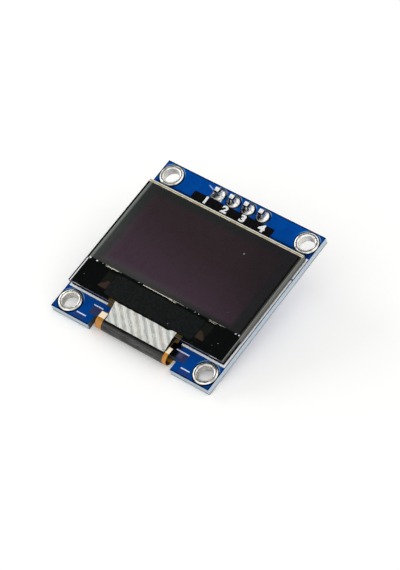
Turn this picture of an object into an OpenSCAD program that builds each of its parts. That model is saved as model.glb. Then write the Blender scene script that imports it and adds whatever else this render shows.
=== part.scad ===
// Small square display module: a 0.96 inch panel on a four-pin carrier board.
// Millimetres. The origin is the middle of the four mounting holes, on the board's
// back face. With the screen read upright, +X is to the right, +Y is towards the
// pin header and +Z comes out of the screen.

/* [Board] */
// Bare board between the glass and the header edge
header_border = 4.44; // [4.3:0.02:5.2]
// Bare board between the glass and the notched edge
notch_border = 4.1; // [4:0.02:5]
// Bare board on each side of the glass
side_border = 0.3; // [0.1:0.05:0.6]
// Thickness of the circuit board
board_t = 1.2; // [0.8:0.1:1.6]

/* [Flex notch] */
// Free space between the flex and each side of the notch
notch_clear = 1.02; // [0.5:0.01:1.8]
// Depth of the notch from the board's edge
notch_depth = 1.9; // [1.6:0.05:2.4]
// Radius of the notch's inner corners
notch_r = 0.5; // [0.2:0.1:1]

/* [Mounting holes] */
// Distance from a hole's centre to the board's side
hole_inset_x = 1.9; // [1.85:0.05:2.1]
// Distance from a hole's centre to the board's upper or lower edge
hole_inset_y = 2; // [1.85:0.05:2.1]
// Clear bore of each plated hole
bore_d = 2.3; // [1.6:0.1:2.6]
// Outside of the tinned ring round each hole
ring_d = 3.5; // [3.1:0.1:3.6]
// Height of the solder bead on the ring's front
bead_h = 0.16; // [0.08:0.01:0.25]

/* [Plating] */
// Thickness of a copper pad over the board's face
pad_t = 0.05; // [0.03:0.01:0.1]
// Wall of the plating inside a hole
plating_t = 0.05; // [0.03:0.01:0.1]

/* [Pin header] */
// Number of pins
pin_count = 4; // [4:1:4]
// Distance between pins
pin_pitch = 2.54; // [2.5:0.01:2.6]
// Distance from the board's edge to the pin row
header_inset = 1.35; // [1.27:0.01:1.6]
// Side of a square pin
pin_w = 0.64; // [0.5:0.01:0.68]
// Length of a pin on the board's side of the moulding
pin_tail = 3; // [2.8:0.1:4]
// Length of a pin past the moulding
pin_post = 6; // [4:0.1:9]
// Length of the sloping point at each end of a pin
pin_point = 0.45; // [0.2:0.05:0.8]
// Height of the moulding that holds the pins
moulding_h = 2.54; // [1.5:0.01:3]
// Width of the moulding across the pin row
moulding_w = 2.5; // [2.2:0.02:2.54]
// Corner cut between neighbouring cells of the moulding
moulding_cut = 0.4; // [0.2:0.05:0.6]
// Finished hole for a pin
pin_hole_d = 1; // [0.98:0.01:1.1]
// Diameter of a round pad, and width of the square first pad
pad_d = 2; // [1.7:0.05:2.2]
// Height of a solder cone over its pad
cone_h = 1.05; // [0.6:0.05:1.1]
// Diameter of a solder cone at its top
cone_top_d = 0.98; // [0.94:0.01:1.2]
// Height of the solder at a cone's foot
cone_foot_h = 0.08; // [0.04:0.01:0.15]
// Radius of the hollow in a cone's side
cone_hollow_r = 1.3; // [1.2:0.1:2]
// How much the first pad is shorter than it is wide
first_pad_cut = 0.1; // [0:0.05:0.2]

/* [Display panel] */
// Width of the display's glass
panel_w = 26.7; // [26:0.1:29.4]
// Height of the display's front glass
panel_h = 19.26; // [18.8:0.02:19.6]
// Thickness of the front glass
front_glass_t = 0.5; // [0.3:0.05:0.7]
// Height of the ledge of front glass past the rear glass
ledge_h = 4; // [3.7:0.05:4.5]
// Thickness of the rear glass
rear_glass_t = 0.7; // [0.5:0.05:0.9]
// Thickness of the polariser film
polariser_t = 0.2; // [0.1:0.01:0.3]
// Distance from the polariser's lower edge to the rear glass's lower edge
polariser_short = 0.5; // [0:0.05:1]
// Bare glass left at the polariser's top and sides
polariser_inset = 0.5; // [0.2:0.05:0.8]
// Thickness of the adhesive sheet behind the rear glass
adhesive_t = 0.1; // [0.05:0.01:0.2]
// Bare border round the adhesive sheet
adhesive_inset = 0.7; // [0.3:0.1:1.5]

/* [Ledge] */
// Length of the driver chip
driver_l = 8.2; // [6:0.1:11]
// Width of the driver chip
driver_w = 1; // [0.8:0.05:1.2]
// Thickness of the driver chip
driver_t = 0.35; // [0.25:0.01:0.45]
// Distance from the rear glass to the driver chip
driver_gap = 0.7; // [0.4:0.05:0.9]
// Width of the black tape over the ledge
shade_w = 15.2; // [13.5:0.1:16]
// Thickness of the black tape
shade_t = 0.08; // [0.04:0.01:0.12]
// Radius of the black tape's corners
shade_corner = 0.35; // [0.1:0.05:0.6]
// Distance from the polariser to the black tape
shade_gap = 0.45; // [0.2:0.05:0.7]
// Glass left bare below the black tape
shade_margin = 0.62; // [0.6:0.01:0.9]
// Distance across from the black tape's edge to a foam pad
foam_gap = 0.35; // [0.1:0.05:1]
// Bare border between a foam pad and the glass edges
foam_inset = 0.4; // [0.2:0.05:0.8]

/* [Flex] */
// Width of the flex through the notch
flex_w = 12.26; // [11.8:0.02:12.6]
// Sideways place of the flex
flex_x = -0.1; // [-0.2:0.01:0.2]
// Thickness of the flex
flex_t = 0.1; // [0.06:0.01:0.15]
// Length of flex bonded behind the glass
bond_l = 1.4; // [1:0.05:1.6]
// How far the loop stands out past the bottom of the notch
loop_reach = 1.43; // [1.2:0.01:1.5]
// Width of the flex's tail on the board's back
tail_w = 19.6; // [18.8:0.1:20]
// Distance from the bottom of the notch to the start of the tail's shoulders
neck_l = 1.4; // [1.2:0.05:2]
// Length of the tail's sloping shoulders
shoulder_l = 1; // [0.5:0.1:1.5]
// Length of the wide part of the tail
tail_l = 3.2; // [2.5:0.1:4]
// Bare flex on the left of the black cover film
cover_left = 1.09; // [0.4:0.01:1.6]
// Bare flex on the right of the black cover film
cover_right = 0.65; // [0.4:0.01:1.6]
// Thickness of the black cover film
cover_t = 0.04; // [0.02:0.01:0.08]

/* [Silver film] */
// Width of the silver film at the glass
film_w = 10.5; // [9:0.1:10.6]
// Thickness of the silver film
film_t = 0.08; // [0.04:0.01:0.12]
// Length of silver film that lies on the glass
film_lap = 0.34; // [0.2:0.02:0.36]
// Length of silver film that lies on the flex
film_foot = 0.7; // [0.3:0.05:1]
// How far the film's left edge slants in towards the loop
film_slant = 0.35; // [0:0.05:0.6]
// How far the film's upper right corner runs up the glass
film_corner = 0.24; // [0:0.01:0.25]

/* [Flex joints] */
// Number of soldered fingers on the tail
finger_count = 30; // [24:1:30]
// Distance between fingers
finger_pitch = 0.62; // [0.6:0.01:0.63]
// Width of a soldered finger
finger_w = 0.38; // [0.3:0.01:0.44]
// Length of solder on the tail
finger_lap = 0.9; // [0.6:0.05:1.2]
// Length of solder past the tail's end
finger_toe = 0.45; // [0.3:0.05:0.7]

/* [Small parts] */
// Length of a chip capacitor or resistor
chip_l = 1.6; // [1.4:0.05:1.8]
// Width of a chip capacitor or resistor
chip_w = 0.8; // [0.6:0.05:1]
// Height of a capacitor
capacitor_h = 0.8; // [0.5:0.05:1]
// Height of a resistor
resistor_h = 0.45; // [0.35:0.05:0.6]
// Length of a chip's metal end
chip_end = 0.3; // [0.2:0.05:0.45]
// How far a chip's ends stand out round its body
chip_step = 0.03; // [0.02:0.01:0.05]
// How far a solder fillet runs out from a chip's end
fillet_run = 0.3; // [0.15:0.05:0.4]
// Distance between neighbours in the row by the flex
chip_pitch = 3; // [2.4:0.1:3.4]
// Distance from the flex joints to that row
chip_row_gap = 0.6; // [0.4:0.1:2]
// Distance from the pin moulding to the row beside it
header_row_gap = 1.9; // [1.6:0.1:3]
// Length of the voltage regulator's body
regulator_l = 2.9; // [2.6:0.1:3.2]
// Width of the regulator's body
regulator_w = 1.3; // [1.1:0.05:1.5]
// Height of the regulator's body
regulator_h = 1; // [0.8:0.05:1.2]
// Gap under the regulator's body
regulator_gap = 0.1; // [0.05:0.01:0.15]
// Distance from the regulator's middle to an outer lead
lead_pitch = 0.95; // [0.8:0.05:1.05]
// Width of a lead
lead_w = 0.4; // [0.3:0.02:0.5]
// Thickness of a lead
lead_t = 0.12; // [0.08:0.01:0.15]
// How far a lead reaches from the body
lead_reach = 0.55; // [0.5:0.05:0.7]
// How far a lead runs straight out before it bends down
lead_shoulder = 0.18; // [0.1:0.02:0.24]
// How far a face of the regulator's body slopes in over half its height
mould_draft = 0.08; // [0.02:0.01:0.12]

/* [Hidden] */
$fn = 48;
eps = 0.01;

// Widths and heights of what is built round or on the glass
board_w = panel_w + 2 * side_border;
board_h = panel_h + header_border + notch_border;
rear_glass_h = panel_h - ledge_h;
polariser_h = rear_glass_h - polariser_inset - polariser_short;
hole_pitch_x = board_w - 2 * hole_inset_x;
hole_pitch_y = board_h - 2 * hole_inset_y;
notch_w = flex_w + 2 * notch_clear;
cover_w = flex_w - cover_left - cover_right;
cover_x = flex_x + (cover_left - cover_right) / 2;
foam_in = shade_w / 2 + foam_gap;
foam_out = panel_w / 2 - foam_inset;

// Heights above the board's back face
adhesive_z = board_t;
rear_glass_z = adhesive_z + adhesive_t;
front_glass_z = rear_glass_z + rear_glass_t;
glass_top = front_glass_z + front_glass_t;
film_low_z = front_glass_z + cover_t;

// Lines across the panel
panel_top = board_h / 2 - header_border;
panel_bottom = panel_top - panel_h;
rear_glass_bottom = panel_top - rear_glass_h;
polariser_bottom = rear_glass_bottom + polariser_short;

// The notch, and the loop of flex in it
ledge_y = -board_h / 2 + notch_depth;
loop_r = (front_glass_z + flex_t) / 2;
loop_z = loop_r - flex_t;
loop_y = ledge_y - loop_reach + loop_r;
neck_end = ledge_y + neck_l;
tail_start = neck_end + shoulder_l;
tail_end = tail_start + tail_l;

// The pin row
header_y = board_h / 2 - header_inset;
moulding_z = -pad_t;
barrel_d = pin_hole_d + 2 * plating_t;

// Rows of small parts on the back
chip_row_y = tail_end + finger_toe + chip_row_gap + chip_l / 2;
header_row_y = header_y - moulding_w / 2 - header_row_gap;
// Share of a chip's height that its solder climbs
solder_climb = 0.8;

// Kind, place in its row and row of each small part: 0 is by the flex, 1 by the header
capacitors = [[-2.5, 0], [-1.5, 0], [-0.5, 0], [1.5, 0], [-2.9, 1], [-0.4, 1]];
resistors = [[0.5, 0], [2.5, 0], [0.6, 1], [1.5, 1], [2.9, 1]];
regulator_place = -1.65;

// ---- places ----

// Centre of mounting hole i, counted from the upper left
function hole_at(i) = [
    (i % 2 == 0 ? -1 : 1) * hole_pitch_x / 2,
    (i < 2 ? 1 : -1) * hole_pitch_y / 2
];

// Centre of pin i, counted from the left
function pin_at(i) = [(i - (pin_count - 1) / 2) * pin_pitch, header_y];

// Centre of a small part on the back, from its place and row
function small_at(p) = [p[0] * chip_pitch, p[1] == 0 ? chip_row_y : header_row_y];

// Centre of a circle of radius r that sags into the slope from a down to b
function sag_centre(a, b, r) =
    let (d = b - a, n = norm(d))
    (a + b) / 2 + [-d[1], d[0]] / n * -sqrt(r * r - n * n / 4);

// ---- shared shapes ----

// A slab centred on a point of the plane, from z up to z + t
module slab(centre, size, z, t)
    translate([centre[0] - size[0] / 2, centre[1] - size[1] / 2, z])
        cube([size[0], size[1], t]);

// A shape drawn as (y, z) and drawn out along X
module drawn_along_x(w, x = 0)
    translate([x - w / 2, 0, 0])
        rotate([90, 0, 90])
            linear_extrude(w)
                children();

// Half a ring of the flex's loop, open towards the panel
module half_ring(r, t)
    translate([loop_y, loop_z])
        difference() {
            circle(r);
            circle(r - t);
            translate([0, -r - eps])
                square([r + eps, 2 * (r + eps)]);
        }

// ---- board and plated holes ----

module notch_outline() {
    corner_y = ledge_y - notch_r;
    edge_y = -board_h / 2 - eps;
    translate([-notch_w / 2, edge_y])
        square([notch_w, corner_y - edge_y]);
    translate([-notch_w / 2 + notch_r, edge_y])
        square([notch_w - 2 * notch_r, ledge_y - edge_y]);
    for (side = [-1, 1])
        translate([side * (notch_w / 2 - notch_r), corner_y])
            circle(notch_r);
}

module circuit_board()
    color("mediumblue")
        linear_extrude(board_t)
            difference() {
                square([board_w, board_h], center = true);
                notch_outline();
                for (i = [0:3])
                    translate(hole_at(i))
                        circle(d = bore_d + 2 * plating_t);
                for (i = [0:pin_count - 1])
                    translate(pin_at(i))
                        circle(d = barrel_d);
            }

// Plating of one mounting hole: barrel, flat ring behind, solder bead in front
module mounting_ring(i) {
    bore_r = bore_d / 2;
    ring_r = ring_d / 2;
    half = (ring_r - bore_r) / 2;
    bead_r = (half * half + bead_h * bead_h) / (2 * bead_h);
    color("silver")
        translate(concat(hole_at(i), [0]))
            rotate_extrude() {
                translate([bore_r, -pad_t])
                    square([plating_t, board_t + pad_t]);
                translate([bore_r, -pad_t])
                    square([ring_r - bore_r, pad_t]);
                intersection() {
                    translate([bore_r + half, board_t + bead_h - bead_r])
                        circle(bead_r);
                    translate([bore_r, board_t])
                        square([ring_r - bore_r, bead_h + eps]);
                }
            }
}

module pad_plate(i, z) {
    if (i == 0)
        slab(pin_at(i), [pad_d, pad_d - first_pad_cut], z, pad_t);
    else
        translate(concat(pin_at(i), [z]))
            cylinder(d = pad_d, h = pad_t);
}

// Plated hole for one pin, with its pads on both faces
module header_pad(i)
    color("silver")
        difference() {
            union() {
                pad_plate(i, -pad_t);
                pad_plate(i, board_t);
                translate(concat(pin_at(i), [0]))
                    cylinder(d = barrel_d, h = board_t);
            }
            translate(concat(pin_at(i), [-2 * pad_t]))
                cylinder(d = pin_hole_d, h = board_t + 4 * pad_t);
        }

// ---- pin header ----

// Outline of one cell of the moulding
module cell_outline() {
    a = pin_pitch / 2;
    b = moulding_w / 2;
    c = moulding_cut;
    polygon([
        [-a, -b + c], [-a + c, -b], [a - c, -b], [a, -b + c],
        [a, b - c], [a - c, b], [-a + c, b], [-a, b - c]
    ]);
}

module header_moulding()
    color([0.08, 0.08, 0.08])
        translate([0, 0, moulding_z - moulding_h])
            linear_extrude(moulding_h)
                for (i = [0:pin_count - 1])
                    translate(pin_at(i))
                        difference() {
                            cell_outline();
                            square(pin_w, center = true);
                        }

// One face's outline of a pin, drawn as (width, z), pointed at both ends
module pin_outline() {
    w = pin_w / 2;
    tip = pin_w / 5;
    low = moulding_z - moulding_h - pin_post;
    high = moulding_z + pin_tail;
    polygon([
        [-tip, low], [tip, low], [w, low + pin_point], [w, high - pin_point],
        [tip, high], [-tip, high], [-w, high - pin_point], [-w, low + pin_point]
    ]);
}

module header_pin(i)
    color("gold")
        translate(concat(pin_at(i), [0]))
            intersection_for (turn = [0, 90])
                rotate([90, 0, turn])
                    linear_extrude(2 * pin_w, center = true)
                        pin_outline();

// Solder of one pin: it fills the plated hole and climbs the pin in a hollow cone
module solder_joint(i) {
    foot = [pad_d / 2 - first_pad_cut, cone_foot_h];
    top = [cone_top_d / 2, cone_h];
    color("lightgray")
        translate(concat(pin_at(i), [0]))
            difference() {
                union() {
                    translate([0, 0, -pad_t])
                        cylinder(d = pin_hole_d, h = board_t + 2 * pad_t);
                    translate([0, 0, board_t + pad_t])
                        cylinder(r = foot[0], h = cone_h);
                }
                translate([0, 0, board_t + pad_t])
                    rotate_extrude()
                        solder_hollow(foot, top);
                translate([-pin_w / 2, -pin_w / 2, -2 * pad_t])
                    cube([pin_w, pin_w, pin_tail + board_t]);
            }
}

// What is cut from round a solder cone, drawn as (radius, height)
module solder_hollow(foot, top) {
    out = foot[0] + eps;
    over = top[1] + eps;
    polygon([foot, top, [out, over], [out, foot[1]]]);
    intersection() {
        translate(sag_centre(foot, top, cone_hollow_r))
            circle(cone_hollow_r);
        translate([0, foot[1]])
            square([out, over - foot[1]]);
    }
}

// ---- display panel ----

module adhesive_sheet()
    color("gainsboro")
        slab(
            [0, panel_top - rear_glass_h / 2],
            [panel_w - 2 * adhesive_inset, rear_glass_h - 2 * adhesive_inset],
            adhesive_z, adhesive_t
        );

module rear_glass()
    color("darkslategray")
        slab([0, panel_top - rear_glass_h / 2], [panel_w, rear_glass_h], rear_glass_z, rear_glass_t);

module front_glass()
    color([0.12, 0.12, 0.14])
        slab([0, panel_top - panel_h / 2], [panel_w, panel_h], front_glass_z, front_glass_t);

module polariser()
    color([0.2, 0.18, 0.2])
        slab(
            [0, polariser_bottom + polariser_h / 2],
            [panel_w - 2 * polariser_inset, polariser_h],
            glass_top, polariser_t
        );

module driver_chip()
    color("dimgray")
        slab(
            [0, rear_glass_bottom - driver_gap - driver_w / 2],
            [driver_l, driver_w],
            front_glass_z - driver_t, driver_t
        );

module black_tape() {
    low = panel_bottom + shade_margin;
    high = polariser_bottom - shade_gap;
    color([0.05, 0.05, 0.06])
        translate([0, (low + high) / 2, glass_top])
            linear_extrude(shade_t)
                offset(shade_corner)
                    square(
                        [shade_w - 2 * shade_corner, high - low - 2 * shade_corner],
                        center = true
                    );
}

// Foam behind one end of the ledge, from the board to the front glass
module foam_pad(side) {
    low = panel_bottom + foam_inset;
    high = rear_glass_bottom - foam_inset;
    x = side * (foam_in + foam_out) / 2;
    color([0.1, 0.1, 0.1])
        slab(
            [x, (low + high) / 2],
            [foam_out - foam_in, high - low],
            board_t, adhesive_t + rear_glass_t
        );
}

// ---- flex ----

// Plan of the tail on the board's back, from the neck out to the soldered end
module tail_outline()
    polygon([
        [-flex_w / 2, neck_end], [-tail_w / 2, tail_start], [-tail_w / 2, tail_end],
        [tail_w / 2, tail_end], [tail_w / 2, tail_start], [flex_w / 2, neck_end]
    ]);

// Bonded behind the front glass, looped through the notch, laid along the back
module display_flex()
    color("darkgoldenrod") {
        drawn_along_x(flex_w, flex_x) {
            translate([loop_y, front_glass_z - flex_t])
                square([panel_bottom + bond_l - loop_y, flex_t]);
            half_ring(loop_r, flex_t);
            translate([loop_y, -flex_t])
                square([tail_start - loop_y, flex_t]);
        }
        translate([flex_x, 0, -flex_t])
            linear_extrude(flex_t)
                tail_outline();
    }

// Cover film on the outside of the loop, from the glass round to the neck's end
module flex_cover_film()
    color([0.06, 0.06, 0.06])
        drawn_along_x(cover_w, cover_x) {
            translate([loop_y, front_glass_z])
                square([panel_bottom - loop_y, cover_t]);
            half_ring(loop_r + cover_t, cover_t);
            translate([loop_y, -flex_t - cover_t])
                square([neck_end - loop_y, cover_t]);
        }

// Side view of the silver film: on the glass, down to the flex, along the flex
module film_section() {
    start = panel_bottom + film_lap + film_corner;
    foot = loop_y + film_foot;
    polygon([
        [start, glass_top], [panel_bottom, glass_top], [foot, film_low_z], [loop_y, film_low_z],
        [loop_y, film_low_z + film_t], [foot, film_low_z + film_t],
        [panel_bottom, glass_top + film_t], [start, glass_top + film_t]
    ]);
}

// Plan of the silver film: the left edge slants, the upper right corner runs up the glass
module film_outline() {
    lap_y = panel_bottom + film_lap;
    half = film_w / 2;
    polygon([
        [-half, lap_y], [-half + film_slant, loop_y], [half, loop_y],
        [half, lap_y + film_corner], [half * 0.55, lap_y - film_corner / 4], [half * 0.3, lap_y]
    ]);
}

module silver_film()
    color("whitesmoke")
        intersection() {
            drawn_along_x(film_w)
                film_section();
            translate([0, 0, board_t])
                linear_extrude(glass_top)
                    film_outline();
        }

// Solder over each finger of the tail, run down onto the board past the tail's end
module flex_solder_row()
    color("silver")
        for (i = [0:finger_count - 1])
            translate([flex_x + (i - (finger_count - 1) / 2) * finger_pitch, 0, 0]) {
                difference() {
                    translate([0, tail_end - finger_lap, -flex_t])
                        rotate([-90, 0, 0])
                            cylinder(d = finger_w, h = finger_lap + finger_toe);
                    translate([-finger_w, tail_end - 2 * finger_lap, -flex_t])
                        cube([2 * finger_w, 3 * finger_lap + finger_toe, finger_w]);
                }
                translate([-finger_w / 2, tail_end, -flex_t])
                    cube([finger_w, finger_toe, flex_t]);
            }

// ---- small parts on the board's back ----

// A chip with two metal ends, standing along Y under the board's back face
module chip(p, h) {
    at = small_at(p);
    for (side = [-1, 1])
        slab([at[0], at[1] + side * (chip_l - chip_end) / 2], [chip_w, chip_end], -h, h);
    slab(
        at,
        [chip_w - 2 * chip_step, chip_l - chip_end],
        -h + chip_step, h - 2 * chip_step
    );
}

module capacitor(i)
    color("tan")
        chip(capacitors[i], capacitor_h);

module resistor(i)
    color([0.12, 0.12, 0.13])
        chip(resistors[i], resistor_h);

// A hollow fillet, drawn as (distance from the part, depth below the board)
module fillet_section(run, climb) {
    r = 2 * max(run, climb);
    difference() {
        polygon([[0, 0], [run, 0], [0, -climb]]);
        translate(sag_centre([0, -climb], [run, 0], r))
            circle(r);
    }
}

// The two fillets of one chip
module chip_solder(p, h) {
    at = small_at(p);
    for (turn = [0, 180])
        translate([at[0], at[1], 0])
            rotate([0, 0, turn])
                translate([0, chip_l / 2, 0])
                    drawn_along_x(chip_w)
                        fillet_section(fillet_run, h * solder_climb);
}

module component_solder()
    color("lightgray") {
        for (p = capacitors)
            chip_solder(p, capacitor_h);
        for (p = resistors)
            chip_solder(p, resistor_h);
    }

// Moulded body with drafted sides, held off the board by its leads
module regulator_body() {
    at = small_at([regulator_place, 1]);
    color([0.1, 0.1, 0.1])
        translate([at[0], at[1], -regulator_gap - regulator_h])
            intersection() {
                drawn_along_x(regulator_l)
                    regulator_section(regulator_w);
                rotate([0, 0, 90])
                    drawn_along_x(regulator_w)
                        regulator_section(regulator_l);
            }
}

// Six-sided section of the body, widest where the leads come out
module regulator_section(w) {
    a = w / 2;
    b = a - mould_draft;
    low = (regulator_h - lead_t) / 2;
    high = (regulator_h + lead_t) / 2;
    polygon([
        [-b, 0], [b, 0], [a, low], [a, high],
        [b, regulator_h], [-b, regulator_h], [-a, high], [-a, low]
    ]);
}

// A gull-wing lead, drawn as (distance from the body, height under the board)
module lead_section() {
    root = -regulator_gap - regulator_h / 2;
    a = root - lead_t / 2;
    b = root + lead_t / 2;
    polygon([
        [0, a], [lead_shoulder, a], [lead_shoulder + lead_t, -lead_t], [lead_reach, -lead_t],
        [lead_reach, 0], [lead_shoulder, 0], [lead_shoulder - lead_t / 2, b], [0, b]
    ]);
}

module regulator_leads() {
    at = small_at([regulator_place, 1]);
    color("silver")
        translate([at[0], at[1], 0]) {
            for (x = [-lead_pitch, lead_pitch])
                translate([x, regulator_w / 2, 0])
                    drawn_along_x(lead_w)
                        lead_section();
            rotate([0, 0, 180])
                translate([0, regulator_w / 2, 0])
                    drawn_along_x(lead_w)
                        lead_section();
        }
}

circuit_board();
mounting_ring(0);  // mounting_ring_1
mounting_ring(1);  // mounting_ring_2
mounting_ring(2);  // mounting_ring_3
mounting_ring(3);  // mounting_ring_4
header_pad(0);  // header_pad_1
header_pad(1);  // header_pad_2
header_pad(2);  // header_pad_3
header_pad(3);  // header_pad_4
header_moulding();
header_pin(0);  // header_pin_1
header_pin(1);  // header_pin_2
header_pin(2);  // header_pin_3
header_pin(3);  // header_pin_4
solder_joint(0);  // solder_joint_1
solder_joint(1);  // solder_joint_2
solder_joint(2);  // solder_joint_3
solder_joint(3);  // solder_joint_4
adhesive_sheet();
rear_glass();
front_glass();
polariser();
driver_chip();
black_tape();
foam_pad(-1);  // foam_pad_left
foam_pad(1);  // foam_pad_right
display_flex();
flex_cover_film();
silver_film();
flex_solder_row();
regulator_body();
regulator_leads();
capacitor(0);  // capacitor_1
capacitor(1);  // capacitor_2
capacitor(2);  // capacitor_3
capacitor(3);  // capacitor_4
capacitor(4);  // capacitor_5
capacitor(5);  // capacitor_6
resistor(0);  // resistor_1
resistor(1);  // resistor_2
resistor(2);  // resistor_3
resistor(3);  // resistor_4
resistor(4);  // resistor_5
component_solder();
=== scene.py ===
"""Looks of a small OLED display module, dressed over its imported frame.

Every length in this file is in millimetres until it reaches a mesh, a lamp or the camera.
"""

import logging
import math
from dataclasses import dataclass, field, replace
from enum import Enum

import bmesh
import bpy
from mathutils import Matrix, Vector


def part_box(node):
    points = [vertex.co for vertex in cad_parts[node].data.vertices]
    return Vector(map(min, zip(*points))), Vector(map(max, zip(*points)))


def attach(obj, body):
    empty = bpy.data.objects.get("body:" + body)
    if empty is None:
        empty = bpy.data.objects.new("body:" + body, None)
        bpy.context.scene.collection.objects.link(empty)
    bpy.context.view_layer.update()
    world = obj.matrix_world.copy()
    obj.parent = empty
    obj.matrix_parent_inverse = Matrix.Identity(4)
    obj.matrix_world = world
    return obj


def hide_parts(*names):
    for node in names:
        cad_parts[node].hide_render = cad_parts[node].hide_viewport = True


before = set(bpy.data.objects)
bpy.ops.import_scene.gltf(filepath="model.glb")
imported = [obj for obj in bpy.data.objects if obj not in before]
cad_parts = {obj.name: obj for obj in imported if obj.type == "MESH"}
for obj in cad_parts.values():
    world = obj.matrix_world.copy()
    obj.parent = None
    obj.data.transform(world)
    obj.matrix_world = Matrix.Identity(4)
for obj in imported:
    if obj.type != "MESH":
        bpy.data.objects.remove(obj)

LOG = logging.getLogger("oled_module")
MM = 0.001
ROOT = "root"
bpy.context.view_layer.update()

# the silver film's ribs: pitch, lean and how far they wander, in millimetres and ribs
RIB_PITCH = 1.36
RIB_SLOPE = 1.0
RIB_WANDER = 0.35
RIB_WANDER_SCALE = 0.5

# how far a face's normal has to turn forwards to count as a front: from none to all of it
FACE_TURN = (0.4, 0.6)

Colour = tuple[float, float, float]
Point = tuple[float, float]
Point3 = tuple[float, float, float]


# ---------------------------------------------------------------- places


@dataclass(frozen=True)
class Extent:
    """The box that one CAD node fills, in millimetres."""

    low: Vector
    high: Vector

    @classmethod
    def of(cls, node: str) -> "Extent":
        """Measures one CAD node.

        Args:
            node: The node's name.

        Returns:
            The node's box.
        """
        low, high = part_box(node)
        return cls(low / MM, high / MM)

    @property
    def centre(self) -> Vector:
        """The middle of the box."""
        return (self.low + self.high) / 2

    @property
    def size(self) -> Vector:
        """The lengths of the box's sides."""
        return self.high - self.low


def nodes_like(prefix: str) -> list[str]:
    """Lists the CAD nodes of a numbered family.

    Args:
        prefix: The family's name, such as header_pin_.

    Returns:
        The nodes' names, in order.
    """
    return sorted(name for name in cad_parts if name.startswith(prefix))


BOARD = Extent.of("circuit_board")
GLASS = Extent.of("front_glass")
REAR_GLASS = Extent.of("rear_glass")
POLARISER = Extent.of("polariser")
TAPE = Extent.of("black_tape")
FLEX = Extent.of("display_flex")
COVER = Extent.of("flex_cover_film")
FILM = Extent.of("silver_film")
RINGS = [Extent.of(name) for name in nodes_like("mounting_ring_")]
PADS = [Extent.of(name) for name in nodes_like("header_pad_")]
PINS = [Extent.of(name) for name in nodes_like("header_pin_")]
FINGERS = Extent.of("flex_solder_row")


# ---------------------------------------------------------------- shader maths


class Value:
    """A shader socket that takes part in sums, as in 1 - mask or x * 2 + y."""

    def __init__(self, shader: "Shader", socket: bpy.types.NodeSocket) -> None:
        """Wraps one output socket of a shader's tree."""
        self.shader = shader
        self.socket = socket

    def maths(self, operation: str, *others: "Value | float", clamp: bool = False) -> "Value":
        """Adds one Math node that starts from this value.

        Args:
            operation: The Math node's operation.
            others: The values of its other sockets.
            clamp: Whether the result is kept from 0 to 1.

        Returns:
            The result.
        """
        settings = {"operation": operation, "use_clamp": clamp}
        return self.shader.value("Math", settings, dict(enumerate((self, *others))))

    def __add__(self, other: "Value | float") -> "Value":
        """This value plus another."""
        return self.maths("ADD", other)

    def __sub__(self, other: "Value | float") -> "Value":
        """This value less another."""
        return self.maths("SUBTRACT", other)

    def __rsub__(self, other: float) -> "Value":
        """A number less this value."""
        return self.shader.value("Math", {"operation": "SUBTRACT"}, {0: other, 1: self})

    def __mul__(self, other: "Value | float") -> "Value":
        """This value times another."""
        return self.maths("MULTIPLY", other)

    def __truediv__(self, other: "Value | float") -> "Value":
        """This value divided by another."""
        return self.maths("DIVIDE", other)

    def __pow__(self, other: float) -> "Value":
        """This value to a power."""
        return self.maths("POWER", other)

    def __abs__(self) -> "Value":
        """This value without its sign."""
        return self.maths("ABSOLUTE")

    def __or__(self, other: "Value") -> "Value":
        """The greater of two masks."""
        return self.maths("MAXIMUM", other)

    def __and__(self, other: "Value") -> "Value":
        """The lesser of two masks."""
        return self.maths("MINIMUM", other)

    def clamp(self) -> "Value":
        """This value kept from 0 to 1."""
        return self.maths("ADD", 0.0, clamp=True)

    def ramp(self, start: float, end: float) -> "Value":
        """Rises smoothly from 0 at start to 1 at end.

        Args:
            start: Where the result is 0.
            end: Where the result is 1; below start, the result falls instead.

        Returns:
            The result, from 0 to 1.
        """
        low, high = min(start, end), max(start, end)
        settings = {"interpolation_type": "SMOOTHSTEP"}
        outer = (0.0, 1.0) if end > start else (1.0, 0.0)
        sockets = {0: self, 1: low, 2: high, 3: outer[0], 4: outer[1]}
        return self.shader.value("MapRange", settings, sockets)

    def between(self, low: float, high: float, soft: float) -> "Value":
        """A band mask with soft sides.

        Args:
            low: The band's lower side.
            high: The band's upper side.
            soft: The width over which each side fades.

        Returns:
            1 in the band and 0 outside it.
        """
        return self.ramp(low - soft / 2, low + soft / 2) & self.ramp(high + soft / 2, high - soft / 2)


@dataclass(frozen=True)
class Place:
    """Where a shaded point is: its place in millimetres, and which way its face looks."""

    x: Value
    y: Value
    z: Value
    vector: Value
    face_x: Value
    face_y: Value
    face_z: Value

    def on_front(self) -> Value:
        """1 on the faces that look forwards and 0 on the edges and behind."""
        return self.face_z.ramp(*FACE_TURN)

    def on_face(self) -> Value:
        """1 on the faces that look forwards or back and 0 on the edges."""
        return abs(self.face_z).ramp(*FACE_TURN)


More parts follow.
